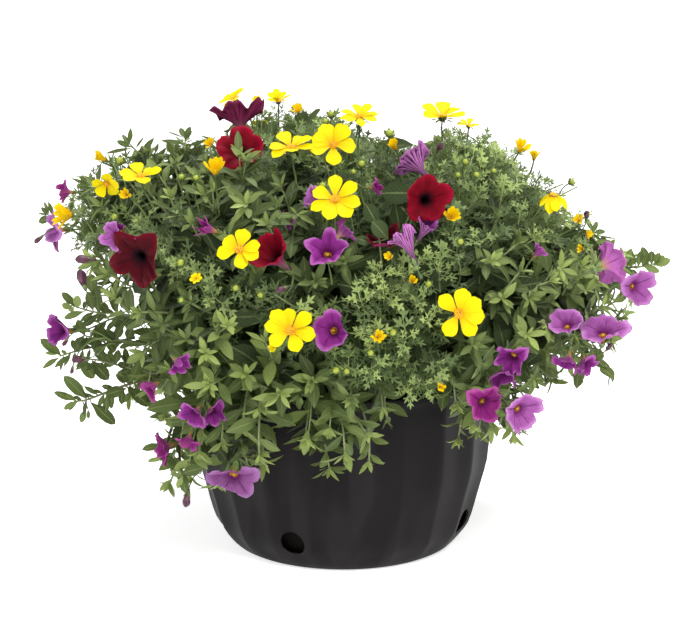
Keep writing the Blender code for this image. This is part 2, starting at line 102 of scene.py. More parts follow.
# Which leaves grow where in the front view: cm right, cm high, how much lighter or darker
# the leaves there are painted, as painted light and shade; nothing grows at "none", which leaves a dark
# hollow
ZONES = {
    "fern": [
        (-5.3, 40.7, -0.1), (-9.5, 43, 0), (-1.3, 42.5, 0), (3.6, 39, -0.25), (10.6, 39.7, 0),
        (15.5, 36.6, 0.1), (19.5, 34.6, 0), (12.5, 33.1, 0), (21.5, 31, 0.16), (10.6, 27.5, 0.08),
        (5.6, 24.4, 0.12), (7.6, 18.3, -0.05), (9.6, 15.3, 0), (0.7, 24.4, 0.2), (3.6, 19.3, 0.28),
        (1.7, 16.3, 0), (-10.2, 24.4, -0.34), (-13.7, 27, 0), (-4.3, 18.8, -0.1),
        (-25, 31.5, -0.18), (-19.5, 34, -0.05), (-17, 31, -0.22), (-22, 32, 0), (-3, 37, -0.1),
        (16, 33, -0.32), (7.5, 42, 0), (3.4, 28.2, 0.2), (7.4, 28.2, 0.05), (11.6, 30, -0.1),
    ],
    "oblong": [
        (-20, 38.5, -0.1), (-15, 40.5, -0.1), (-15.5, 37.5, -0.05), (-26, 36.2, -0.1),
        (-29, 33.5, -0.1), (-13.5, 34.5, -0.08), (-10.5, 33.5, -0.1), (-8, 32, -0.08),
        (-6.5, 34.5, -0.12), (-2.3, 26.6, -0.1), (-27, 27, 0), (-21, 25.5, 0), (-16.5, 22, -0.3),
        (-25, 21, 0.12), (-18, 17, 0), (-11.2, 19.3, 0.22), (-8.2, 14.2, 0.15), (-4.3, 14.2, -0.18),
        (-10, 10, 0.18), (-1, 12, 0), (17.5, 28.5, 0), (21.5, 24.4, 0.03), (26.4, 26.5, 0.16),
        (30.4, 29, 0.05), (18.5, 21.4, 0.15), (14.5, 17.3, -0.1), (14.5, 24.5, 0.15),
        (13, 11.5, 0.2), (22, 19, -0.05), (11.5, 26.5, -0.1), (1.8, 8.4, 0.05), (3.2, 12.6, 0),
    ],
    "none": [
        (-5.5, 29.3, 0), (5.4, 34.6, 0), (3.6, 31.4, 0), (8.6, 31.4, 0), (4.8, 8.4, 0),
        (7.2, 12.4, 0),
    ],
}
ZONE_ROWS = [(*row, kind) for kind, rows in ZONES.items() for row in rows]
OPEN_SIDE = -0.195  # left of here the foliage is an open spray
OPEN_HEIGHT = 0.285
BACK_LINE = 0.07  # on the right side everything in front of this follows the zones
RIGHT_SIDE = 0.18

# Habits: spacing of shoot tips, leafy length, distance between leaves, leaf length and
# half-width, degrees that the lowest and highest leaves open from the stem, stem radius at
# its foot and tip, leaves at a joint, curl, how far tips keep inside the foliage, leaves at
# the tip and how much lighter they are
HABITS = {
    "oblong": dict(
        gap=0.0265, leafy=0.080, step=0.0078, leaf=0.035, half=0.0062, low=72, high=34,
        foot=0.0016, end=0.0009, pair=1, curl=0.50, inset=0.013, tips=7, young=0.32,
    ),
    "oval": dict(
        gap=0.0265, leafy=0.080, step=0.0108, leaf=0.029, half=0.0062, low=66, high=40,
        foot=0.0015, end=0.0008, pair=1, curl=0.35, inset=0.013, tips=5, young=0.30,
    ),
    "fern": dict(
        gap=0.025, leafy=0.064, step=0.013, leaf=0.038, half=0.038, low=62, high=22,
        foot=0.0013, end=0.0007, pair=2, curl=0.35, inset=0.017, tips=4, young=0.32,
    ),
    "broad": dict(
        gap=0.034, leafy=0.060, step=0.0105, leaf=0.046, half=0.0140, low=72, high=36,
        foot=0.0018, end=0.0010, pair=1, curl=0.45, inset=0.013, tips=3, young=0.05,
    ),
}
OUTER_SAMPLES = 26000
# Old leaves under the outer ones: number, their depths and their lengths
INNER_LAYERS = [(2600, (0.024, 0.050), (0.030, 0.044)), (2300, (0.060, 0.095), (0.050, 0.070))]
HOLLOW_DEPTH = 0.055  # inner leaves above this depth leave the dark hollows free
MIDDLE_LEAVES = 460
MIDDLE_RADIUS = 0.150
MIDDLE_HEIGHTS = (0.152, 0.345)
BRANCH_SIDES = 4
TINTS = 16  # leaves take one of so many tints
RIM_CLEARANCE = 0.004

# Top of the leafy mass in the front view: cm right, cm high
TOP_LINE = [
    (-33, 30), (-29.5, 34), (-26.5, 36.6), (-24.5, 38), (-21, 40.4), (-18.5, 39.8), (-14, 40.6),
    (-12, 41), (-9.5, 43.6), (-7, 44), (-2, 43), (0.5, 42.4), (2.5, 41), (5.5, 39.4), (8.5, 40.4),
    (10.5, 42.2), (13, 40.8), (16.5, 39), (18.5, 36.8), (21, 34.4), (23.5, 31.8), (27, 29.8),
    (33, 27.5),
]
LINE_SPREAD = 0.25  # how unevenly leaves end at that line, in cm
SPRIG_RISE = 2.1  # how many cm the set shoots may stand above it

# Shoots with a set place: cm right, cm high, turn, tilt, leafy cm, size, stand-off in mm
SPRIGS = [
    ("oblong", [
        (-20.2, 18.6, -40, -30, 7, 1.0, 2), (-20.6, 23.2, -50, 10, 7, 1.0, 2),
        (-21.6, 14.2, -60, -50, 7, 1.1, 2), (-18.2, 12.0, -50, -60, 6, 0.9, 2),
        (-17.6, 17.2, -30, 10, 6, 1.0, 4), (-18.6, 14.8, -60, -40, 6, 1.0, 2),
        (-17.8, 4.9, -60, -50, 6, 0.9, 2), (-15.6, 6.8, -40, -70, 5, 1.0, 4),
        (-16.6, 8.8, -60, -70, 5, 1.15, 4), (-14.6, 8.0, -20, -60, 5, 0.9, 3),
        (-8.4, 7.6, 10, -70, 6, 1.15, 4), (-12.2, 9.3, 0, -20, 5, 0.85, 6),
        (-10.2, 10.6, -10, -40, 5, 1.0, 4), (-3.8, 9.6, -40, -60, 5, 1.1, 4),
        (0.2, 7.7, 10, -65, 6, 1.05, 5), (-1.6, 10.6, -20, -40, 5, 1.0, 4),
        (4.4, 11.4, 20, -70, 4, 0.8, 3), (-6.3, 14.8, 0, 15, 6, 1.2, 8),
        (-13.6, 15.8, -20, 20, 6, 1.05, 6), (-15.8, 20.4, -20, 20, 6, 1.1, 6),
        (18.5, 20.9, 20, 20, 6, 1.05, 8), (12.9, 19.8, 0, 10, 6, 1.0, 6),
        (13.0, 10.9, -10, -50, 5, 0.95, 4), (15.4, 11.0, 60, -25, 4, 1.0, 3),
        (29.2, 25.0, 70, -20, 5, 0.9, 0), (24.5, 25.5, 40, 20, 6, 1.0, 4),
        (21.8, 27.8, 30, 25, 6, 1.0, 4), (-9.7, 34.3, -10, 30, 6, 1.1, 8),
        (-4.4, 33.4, 10, 35, 6, 0.95, 8), (-13.8, 35.4, -20, 40, 6, 1.15, 6),
        (-7.4, 29.8, 0, 20, 6, 1.0, 6), (-2.6, 26.4, 10, 25, 6, 0.95, 6),
    ]),
    ("fern", [
        (22.2, 36.4, 70, 25, 6, 0.9, 2), (19.6, 36.6, 50, 50, 5, 0.9, 0),
        (15.2, 39.4, 40, 65, 5, 0.9, 0), (17.4, 38.0, 30, 60, 5, 0.85, 0),
        (11.6, 41.2, 20, 70, 5, 0.9, 0), (-7.4, 42.6, -10, 75, 6, 0.9, 0),
        (-1.4, 42.2, 0, 75, 5, 0.8, 0), (3.8, 40.4, 10, 70, 5, 0.8, 0),
        (5.4, 39.2, -10, 60, 5, 0.8, 0), (-4.4, 41.4, 0, 70, 5, 0.8, 0),
        (4.0, 25.2, 0, 35, 5, 1.0, 8), (1.6, 24.6, -10, 35, 5, 1.0, 8),
        (7.4, 24.8, 10, 30, 5, 1.0, 8), (-1.2, 20.0, 0, 25, 5, 1.0, 6),
        (6.4, 20.6, 10, 20, 5, 1.0, 6), (2.8, 17.2, 0, 0, 5, 1.0, 6), (9.6, 17.6, 10, 0, 5, 1.0, 6),
        (-14.2, 27.4, -20, 30, 5, 0.95, 6), (24.2, 33.2, 60, 40, 4, 0.7, 0),
        (-24.6, 31.4, -60, 20, 5, 0.95, 2),
    ]),
    ("oblong", [
        (-10.2, 39.5, -5, 62, 4, 1.1, 26), (-9.4, 38.9, 15, 50, 4, 0.8, 24),
    ]),
    ("fern", [
        (6.4, 15.3, 0, 5, 4, 0.8, 4), (8.3, 15.5, 10, 0, 4, 0.8, 4),
        (13.9, 40.6, 20, 70, 5, 0.8, 0), (16.4, 39.4, 30, 60, 5, 0.8, 0),
        (21.0, 35.8, 50, 50, 5, 0.8, 0), (-9.2, 43.8, -30, 70, 5, 0.75, 0),
        (-7.9, 43.2, 10, 75, 5, 0.75, 0), (-5.6, 42.9, 10, 75, 5, 0.75, 0),
        (3.4, 27.8, -10, 50, 5, 0.9, 6), (6.0, 27.6, 10, 50, 5, 0.9, 6),
    ]),
]
# Fern shoots grown last, which stand up against the sky
TOP_SPRIGS = [
    (-6.5, 43.9, -5, 78, 5, 0.75, 0), (-5.2, 43.7, 10, 75, 5, 0.75, 0),
    (-3.9, 43.4, 5, 78, 5, 0.75, 0), (-2.8, 42.9, 15, 72, 5, 0.7, 0), (1.6, 41.4, 5, 75, 5, 0.7, 0),
    (14.6, 40.0, 30, 68, 5, 0.75, 0), (22.0, 32.6, 65, 30, 4, 0.75, 0),
    (23.6, 36.2, 75, 30, 4, 0.6, 0),
]

# Twigs seen against the light: the piece they belong to, cm behind the middle, the stem as
# (cm right, cm high), then the leaves: from and to in cm, half-width in mm, how light
TWIGS = [
    ("calibrachoa_front", -4.0, [(-19.4, 27.9), (-21.9, 26.8), (-22.9, 25.9), (-23.9, 25.1)], [
        (-22.9, 26.2, -24.8, 28.1, 4.6, 0.35), (-22.8, 26.2, -24.4, 26.1, 2.0, 0.05),
        (-22.1, 27.3, -23.1, 27.2, 1.5, 0.1), (-21.9, 25.2, -22.6, 25.9, 3.2, 0.15),
    ]),
    ("calibrachoa_front", -7.0, [(-18.8, 22.3), (-22.0, 23.0), (-24.6, 23.2), (-26.9, 23.9)], [
        (-24.8, 25.2, -24.9, 27.1, 5.6, 0.45), (-24.7, 23.4, -25.2, 25.3, 4.2, 0.4),
        (-24.1, 23.1, -24.5, 25.6, 5.0, 0.3), (-23.2, 23.0, -24.0, 24.2, 4.0, 0.3),
        (-22.3, 23.1, -23.0, 25.5, 4.0, 0.4), (-21.9, 24.4, -22.6, 25.6, 3.5, 0.15),
        (-21.2, 23.0, -21.8, 25.7, 6.0, 0.4), (-26.5, 23.9, -27.7, 25.2, 3.8, 0.35),
        (-26.8, 23.6, -27.8, 24.0, 3.0, 0.7), (-25.6, 23.3, -27.7, 22.6, 3.0, 0.6),
        (-26.3, 23.6, -26.2, 24.9, 3.8, 0.8), (-26.6, 23.7, -27.1, 23.3, 2.6, 0.85),
        (-24.4, 23.0, -25.7, 21.7, 3.8, 0.1), (-23.4, 23.1, -24.4, 22.3, 2.8, 0.3),
        (-25.6, 23.5, -25.5, 24.3, 2.0, 0.2),
    ]),
    ("calibrachoa_front", -1.0, [(-18.6, 22.4), (-22.0, 22.7), (-23.9, 22.0), (-25.1, 20.9)], [
        (-23.9, 22.0, -25.2, 20.6, 2.4, 0.35), (-22.3, 22.5, -23.6, 21.3, 2.6, 0.1),
        (-22.0, 21.0, -22.0, 23.5, 4.0, 0.5), (-21.4, 22.6, -21.0, 21.2, 3.6, 0.3),
        (-22.8, 22.5, -22.2, 21.5, 2.6, 0.05),
    ]),
    ("calibrachoa_front", -5.5, [(-18.8, 19.8), (-21.6, 20.3), (-23.4, 20.3), (-25.7, 20.8)], [
        (-23.6, 20.4, -23.9, 21.7, 2.8, 0.4), (-25.6, 20.7, -26.3, 22.4, 4.2, 0.45),
        (-25.7, 20.7, -26.7, 19.1, 5.0, 0.2), (-22.6, 20.3, -23.4, 21.2, 3.4, 0.15),
        (-22.6, 20.3, -21.9, 21.8, 4.2, 0.35), (-24.4, 20.4, -24.9, 19.3, 2.4, 0.1),
        (-21.4, 20.3, -20.9, 21.6, 4.4, 0.3), (-23.5, 20.3, -22.7, 19.1, 3.4, 0.3),
    ]),
    ("left_upper_shoot", -3.2, [(-20.6, 20.6), (-23.5, 19.9), (-25.8, 19.4), (-28.1, 18.7)], [
        (-28.0, 18.8, -30.0, 20.5, 4.5, 0.35), (-28.1, 18.9, -29.7, 19.1, 2.0, 0.7),
        (-28.1, 18.6, -30.0, 17.5, 2.6, 0.5), (-27.1, 18.9, -28.7, 17.5, 2.4, 0.4),
        (-28.0, 18.8, -28.9, 19.9, 2.6, 0.75), (-23.4, 19.9, -24.8, 19.1, 4.5, 0.4),
        (-22.4, 20.0, -23.2, 18.9, 3.6, 0.25), (-26.3, 19.3, -26.9, 20.3, 3.0, 0.1),
        (-24.9, 19.6, -26.2, 19.9, 2.0, 0.05), (-27.3, 18.9, -28.0, 19.3, 1.6, 0.55),
    ]),
    ("calibrachoa_front", -8.0, [(-18.6, 16.9), (-22.5, 17.8), (-24.5, 18.3), (-26.3, 18.4)], [
        (-26.2, 18.3, -24.6, 16.4, 5.5, 0.4), (-24.9, 18.2, -23.2, 16.2, 5.5, 0.1),
        (-21.4, 17.6, -22.4, 17.9, 3.0, 0.1), (-20.9, 17.4, -22.1, 16.9, 3.5, 0.05),
        (-22.6, 17.8, -23.9, 17.9, 2.8, 0.45), (-22.6, 17.8, -22.3, 19.3, 3.6, 0.35),
        (-21.2, 17.5, -20.8, 18.9, 4.0, 0.45), (-23.6, 18.1, -24.2, 19.0, 2.8, 0.25),
        (-20.4, 17.3, -20.6, 15.9, 4.0, 0.2),
    ]),
    ("left_lower_shoot", -7.6, [
        (-19.0, 16.4), (-21.6, 15.7), (-23.7, 14.9), (-25.5, 14.2), (-26.8, 14.0)
    ], [
        (-25.5, 14.4, -27.7, 16.7, 5.5, 0.35), (-26.7, 14.1, -28.8, 15.0, 3.6, 0.3),
        (-26.4, 14.0, -27.9, 13.3, 2.8, 0.6), (-25.6, 13.2, -26.3, 11.8, 3.2, 0.5),
        (-25.4, 13.3, -25.4, 12.2, 1.6, 0.4), (-25.1, 14.0, -22.6, 11.6, 5.2, 0.08),
        (-23.5, 14.8, -23.7, 12.8, 3.0, 0.35), (-21.6, 15.4, -23.7, 14.7, 5.0, 0.35),
        (-21.5, 15.6, -19.2, 13.5, 5.0, 0.1), (-23.9, 14.9, -25.0, 15.2, 1.6, 0.05),
        (-22.6, 15.3, -23.5, 15.6, 1.2, 0.05), (-20.9, 15.9, -21.6, 17.0, 3.4, 0.2),
        (-26.7, 14.1, -27.6, 14.7, 2.4, 0.65), (-21.2, 15.8, -21.0, 14.4, 3.0, 0.3),
    ]),
    ("calibrachoa_back", 2.0, [
        (-16.4, 34.5), (-17.6, 37.0), (-18.9, 38.3), (-19.9, 39.1), (-20.8, 40.1)
    ], [
        (-20.8, 40.1, -20.7, 41.6, 2.2, 0.45), (-20.8, 40.0, -21.5, 41.1, 2.2, 0.45),
        (-20.7, 39.8, -22.0, 40.4, 2.4, 0.35), (-20.6, 39.7, -23.3, 39.2, 1.7, 0.3),
        (-20.3, 39.6, -19.4, 40.8, 1.0, 0.3), (-19.8, 39.1, -18.4, 40.7, 2.5, 0.3),
        (-19.5, 38.6, -21.4, 38.8, 1.4, 0.1), (-19.0, 38.2, -20.1, 38.3, 2.4, 0.2),
        (-18.9, 38.1, -17.2, 37.3, 4.2, 0.35), (-19.6, 38.8, -20.4, 38.9, 1.0, 0.1),
    ]),
    ("calibrachoa_back", 1.0, [(-16.8, 34.5), (-17.8, 37.2), (-18.2, 38.2), (-18.3, 38.9)], [
        (-18.4, 38.8, -19.3, 39.3, 1.8, 0.2), (-18.4, 39.0, -18.0, 40.2, 1.5, 0.3),
        (-18.1, 38.7, -17.3, 39.7, 1.6, 0.2), (-18.2, 38.2, -18.4, 39.2, 1.8, 0.2),
        (-18.0, 38.2, -17.7, 39.1, 1.6, 0.15), (-17.9, 38.0, -17.2, 39.2, 1.0, 0.2),
    ]),
    ("calibrachoa_back", 3.0, [
        (-14.2, 34.5), (-15.1, 37.2), (-15.4, 38.6), (-15.4, 39.7), (-15.4, 40.6)
    ], [
        (-15.4, 40.6, -15.9, 41.7, 2.6, 0.45), (-15.4, 40.6, -14.9, 41.8, 2.6, 0.45),
        (-15.4, 40.5, -14.7, 41.4, 1.5, 0.35), (-15.4, 40.6, -17.2, 41.4, 0.7, 0.3),
        (-15.5, 40.1, -17.8, 40.5, 2.2, 0.35), (-15.5, 39.9, -17.1, 39.9, 1.0, 0.25),
        (-15.3, 39.9, -13.2, 40.5, 1.7, 0.3), (-15.5, 39.2, -17.3, 39.6, 0.9, 0.2),
        (-15.1, 38.3, -14.4, 40.0, 2.0, 0.1), (-14.8, 37.6, -13.8, 39.9, 3.0, 0.1),
        (-15.4, 38.8, -16.2, 39.7, 3.0, 0.08), (-15.2, 38.2, -15.3, 39.4, 3.0, 0.08),
    ]),
    ("calibrachoa_back", 0.0, [(-21.6, 32.0), (-23.5, 34.0), (-24.1, 35.0), (-24.6, 35.9)], [
        (-24.6, 35.9, -26.6, 36.7, 1.5, 0.35), (-24.6, 36.0, -25.8, 36.9, 2.2, 0.35),
        (-24.6, 35.9, -24.7, 37.4, 1.8, 0.5), (-24.1, 34.9, -26.0, 35.4, 2.8, 0.35),
        (-23.7, 34.2, -26.1, 35.0, 3.2, 0.3), (-23.9, 34.7, -23.5, 35.6, 1.6, 0.1),
    ]),
    ("calibrachoa_front", -2.0, [(-25.0, 30.4), (-27.2, 31.9), (-28.2, 32.7), (-28.9, 33.0)], [
        (-28.8, 33.0, -29.3, 34.4, 1.6, 0.35), (-28.4, 32.8, -28.8, 34.3, 2.2, 0.4),
        (-28.9, 33.0, -29.6, 33.8, 1.8, 0.15), (-28.9, 33.0, -30.0, 33.2, 1.0, 0.4),
        (-28.6, 32.8, -29.9, 32.3, 3.6, 0.3),
    ]),
    ("calibrachoa_right", -1.0, [
        (22.4, 26.4), (23.9, 28.2), (24.4, 29.7), (24.5, 30.7), (24.6, 31.4)
    ], [
        (24.5, 31.3, 23.9, 32.6, 2.0, 0.45), (24.5, 31.1, 24.9, 32.4, 2.2, 0.55),
        (24.6, 31.1, 25.8, 31.5, 2.6, 0.4), (24.6, 30.9, 26.9, 30.6, 0.8, 0.35),
        (24.4, 30.3, 26.6, 30.4, 2.4, 0.6), (24.1, 28.9, 22.8, 29.1, 2.2, 0.2),
        (23.4, 27.6, 24.8, 27.0, 2.4, 0.05), (23.7, 27.9, 25.6, 26.5, 2.8, 0.6),
    ]),
    ("right_upper_shoot", 0.0, [(24.8, 26.0), (27.9, 27.6), (29.3, 27.8), (30.6, 28.1)], [
        (28.8, 27.8, 28.4, 29.4, 1.4, 0.25), (29.0, 27.8, 29.2, 29.4, 2.8, 0.45),
        (30.0, 28.0, 29.4, 29.8, 3.6, 0.3), (30.3, 28.1, 30.3, 29.4, 3.4, 0.2),
        (30.6, 28.1, 31.1, 29.2, 3.0, 0.5), (30.5, 28.0, 32.2, 28.5, 3.8, 0.65),
        (29.5, 27.9, 31.2, 27.3, 3.6, 0.6), (28.0, 27.6, 29.1, 26.6, 3.2, 0.3),
        (30.5, 28.1, 31.6, 28.9, 2.8, 0.7), (29.4, 27.9, 29.9, 28.9, 3.2, 0.4),
        (27.2, 27.3, 28.0, 28.3, 3.4, 0.35), (26.6, 27.0, 27.9, 26.2, 3.6, 0.3),
    ]),
    ("calibrachoa_right", -6.0, [(14.2, 17.6), (15.6, 16.3), (16.6, 16.1), (17.9, 15.8)], [
        (16.9, 15.8, 18.9, 14.7, 2.8, 0.3), (17.9, 15.8, 19.6, 16.1, 2.2, 0.5),
        (17.6, 15.9, 18.8, 16.9, 2.6, 0.45), (16.3, 16.0, 16.0, 14.8, 2.8, 0.15),
        (17.0, 16.1, 17.4, 17.2, 2.8, 0.4), (15.8, 16.3, 16.0, 17.6, 3.2, 0.3),
    ]),
    ("calibrachoa_right", -4.0, [(16.4, 20.4), (18.2, 19.2), (19.1, 18.3)], [
        (19.0, 18.2, 20.6, 16.4, 3.8, 0.05), (18.6, 18.8, 20.4, 18.9, 3.4, 0.3),
        (18.4, 19.0, 17.7, 17.8, 3.0, 0.2), (17.6, 19.6, 19.2, 20.3, 3.4, 0.35),
    ]),
    ("calibrachoa_right", -3.0, [(21.4, 20.8), (23.4, 19.6), (24.8, 18.6)], [
        (24.8, 18.5, 26.7, 17.0, 4.2, 0.25), (24.2, 18.9, 25.7, 19.3, 3.4, 0.35),
        (24.0, 19.2, 23.6, 17.8, 3.2, 0.3), (22.8, 20.0, 21.6, 18.9, 3.6, 0.2),
    ]),
    ("petunia_red_front", None, [(5.2, 28.0), (5.6, 31.0), (6.6, 33.2), (7.0, 35.2)], [
        (7.0, 35.3, 3.7, 35.2, 9.5, 0.1), (5.6, 31.4, 5.1, 34.0, 6.0, 0.0),
        (6.3, 32.8, 8.4, 34.0, 6.5, 0.0),
    ]),
    ("petunia_red_front", None, [(3.8, 27.6), (3.6, 30.0), (3.4, 32.0)], [
        (4.4, 30.6, 2.9, 32.4, 7.0, 0.3), (3.4, 31.9, 2.2, 34.1, 6.5, 0.08),
        (2.8, 30.2, 1.2, 30.7, 4.0, 0.25), (3.9, 29.4, 6.0, 30.4, 6.5, 0.05),
    ]),
]
TWIG_WIDTH = 1.15  # how much wider the leaves of these twigs are made
TWIG_GAP = 1.6  # steps of the curve between small leaves

# Flowers that have a CAD node. First how the node faces (degrees turned right, degrees
# tilted up) and its width in mm; then the same three as it is shown, its look (number of
# petals, or the shade and shape of a funnel), degrees of spin, how open (over 1 droops)
CAD_FLOWERS = {
    "bidens": [
        (-4, 22, 52, -2, 46, 50, 7, 0, 0.96), (4, 36, 46, 2, 36, 46, 6, 0, 0.94),
        (-14, 58, 43, -8, 70, 46, 7, 0, 0.94), (-10, 26, 43, -8, 36, 43, 6, 0, 0.97),
        (6, 14, 46, 6, 14, 48, 6, 0, 0.97), (-8, 28, 47, -6, 34, 50, 7, 0, 0.96),
        (24, 74, 47, 16, 80, 50, 6, 20, 0.84), (10, 72, 42, 10, 72, 40, 8, 0, 0.94),
        (-26, 56, 42, -10, 74, 42, 6, 10, 0.92), (-30, 78, 40, -74, 60, 32, 7, 0, 0.86),
        (30, 10, 34, 20, 78, 40, 8, 0, 1.5), (200, 40, 46, 200, 40, 34, 7, 0, 0.96),
    ],
    "calibrachoa": [
        (-12, 18, 38, -4, 46, 44, "violet star", 10, 0.7),
        (8, 12, 38, -14, 20, 42, "violet", 24, 0.74), (-34, 12, 34, -50, 10, 30, "lilac", 0, 0.75),
        (-78, -4, 36, -58, 10, 40, "violet", 0, 0.52),
        (-18, 4, 40, -26, -30, 32, "violet", 36, 0.62),
        (-10, -12, 44, -8, -31, 49, "dusky", 20, 0.84),
        (22, 10, 38, -30, -24, 40, "violet star", 36, 0.68),
        (10, 0, 38, 30, -10, 40, "magenta", 0, 0.74),
        (24, -4, 38, 36, -12, 42, "lilac round", 18, 0.84),
        (62, 14, 38, 128, 10, 44, "lilac round", 10, 0.72),
        (48, 8, 38, 42, -2, 42, "lilac round", 22, 0.8), (164, 8, 38, 164, 8, 38, "violet", 0, 0.9),
    ],
    "petunia_red": [
        (-16, 14, 56, -26, -12, 57, "plain", -18, 0.92),
        (34, 30, 54, 14, 14, 48, "crimson soft", 15, 0.9),
        (40, 24, 50, -48, 42, 52, "crimson cup", 0, 0.42),
    ],
    "petunia_veined": [
        (46, 36, 50, -140, 58, 44, "plain", 10, 0.28),
    ],
}
NUDGES = {  # metres that a head is shown away from its CAD place
    "bidens_flower_04": (0.003, -0.014, 0.001),
    "bidens_flower_09": (0.004, 0.0, -0.001),
    "bidens_flower_12": (0.0, 0.0, -0.020),
    "calibrachoa_flower_05": (-0.010, 0.0, 0.003),
    "petunia_red_flower_03": (0.006, 0.024, -0.007),
    "calibrachoa_flower_10": (0.006, 0.0, 0.007),
}
PETAL_TURNS = {  # degrees anticlockwise from the right, for petals that are not evenly spread
    "bidens_flower_01": [90, 32, -14, -54, -104, -154, 158],
    "bidens_flower_02": [112, 54, -3, -89, -160, 162],
    "bidens_flower_03": [196, 123, 64, 26, -13, -79, -131],
    "bidens_flower_04": [142, 78, 10, -26, -76, -162],
    "bidens_flower_05": [136, 76, 30, -8, -55, -124],
    "bidens_flower_06": [172, 136, 100, 40, -10, -68, -140],
    "bidens_flower_09": [168, 110, 46, 4, -76, -136],
}
# More flowers, seen along a line of sight: cm right, cm high, turn, tilt, diameter in mm,
# look, spin, openness, then if not usual the stand-off in mm and the share of room kept clear
MORE_FLOWERS = {
    "bidens": [
        (-14.5, 26.6, -10, 30, 13, 7, 0, 0.7), (3.4, 20.6, 10, 34, 16, 8, 0, 0.4),
        (10.5, 32.7, 10, 40, 24, 9, 0, 0.28), (-23.2, 38.5, -60, 34, 24, 9, 0, 0.04, 10),
        (-21.2, 35.0, -20, 20, 15, 8, 0, 0.4, 10), (-6.8, 19.7, -40, -10, 14, 6, 0, 0.55, 6),
        (-8.4, 44.3, 0, 60, 14, 6, 0, 0.55, 6), (23.1, 32.4, -20, 40, 14, 7, 0, 0.4, 10),
        (23.9, 31.1, 40, 10, 11, 6, 0, 0.4, 10), (23.5, 29.6, -40, 10, 11, 6, 0, 0.4),
        (6.8, 26.3, 5, 40, 12, 7, 0, 0.4), (9.6, 15.5, 10, 20, 11, 6, 0, 0.4),
        (4.6, 28.7, -40, 40, 12, 6, 0, 0.4), (-12.5, 37.2, 0, 62, 30, 8, 0, 0.34, 10),
        (-26.7, 33.0, -60, 14, 36, 13, 0, 0.42, 10), (17.2, 39.4, 30, 50, 24, 8, 0, 0.32),
        (-23.1, 36.2, -6, -30, 34, 5, 18, 0.78, 10), (1.6, 42.5, -6, 88, 44, 8, 10, 0.92),
        (12.2, 41.9, 30, 84, 26, 7, 0, 0.84, 6), (-6.3, 44.3, 0, 74, 30, 7, 0, 0.62),
        (-12.9, 40.0, -30, 40, 15, 7, 0, 0.4), (5.1, 39.6, -30, 50, 22, 8, 0, 0.08, 10),
        (-4.4, 43.2, -10, 60, 17, 7, 0, 0.3, 4), (18.6, 38.6, 20, 74, 18, 8, 0, 0.22),
    ],
    "calibrachoa": [
        (0.0, 31.4, 120, 40, 30, "violet", 20, 0.6, 2, 0.4),
        (16.0, 16.6, -14, -46, 36, "violet", 0, 0.6), (-28.5, 31.5, -84, 0, 40, "lilac", 0, 0.86),
        (-27.2, 35.3, -76, 4, 25, "magenta", 0, 0.55),
        (-22.0, 31.5, -30, 20, 24, "violet", 0, 0.6, 4, 0.5),
        (-13.0, 12.7, 24, -28, 32, "violet star", 0, 0.6),
        (-16.3, 18.0, 40, -20, 26, "violet", 0, 0.5, 4, 0.6),
        (-19.1, 15.5, -50, -20, 28, "magenta", 0, 0.46),
        (-18.0, 9.2, -66, -14, 36, "magenta star", 0, 0.6, 10),
        (-15.5, 9.9, -30, -60, 28, "magenta", 0, 0.5, 10),
        (22.1, 22.1, -14, 50, 38, "lilac", 0, 0.72), (25.8, 21.5, 4, 60, 50, "lilac", 0, 0.82),
        (22.3, 18.0, -16, -50, 34, "violet", 0, 0.55), (24.0, 17.9, 14, -48, 28, "violet", 0, 0.55),
        (-3.0, 34.7, -60, 20, 28, "lilac", 0, 0.6, 4, 0.6),
        (19.1, 29.2, 60, 50, 20, "violet", 0, 0.3, 2, 0.4),
        (0.9, 26.9, 20, -30, 26, "violet", 0, 0.45, 0, 0.6),
        (-5.9, 32.5, 20, 24, 28, "violet", 0, 0.4, -2, 0.35),
        (3.2, 35.7, 70, 0, 18, "magenta", 0, 0.5, 2, 0.8),
        (-13.3, 31.6, -64, 20, 31, "magenta spiky", 0, 0.28, 6),
    ],
    "petunia_red": [
        (-10.0, 39.5, -5, 44, 48, "crimson round", 20, 0.8, 8, 0.05),
        (4.1, 30.6, -40, 56, 38, "plain", 0, 0.8, 2, 0.4),
        (-10.1, 42.9, -172, 66, 56, "plain round", 0, 0.8, 10),
    ],
    "petunia_veined": [
        (7.0, 38.2, -128, 40, 50, "plain round", 34, 0.56, 10),
        (8.0, 31.5, 60, 56, 32, "plain", 0, 0.22, 6, 0.6),
    ],
}
USUAL_STAND_OFF = 8
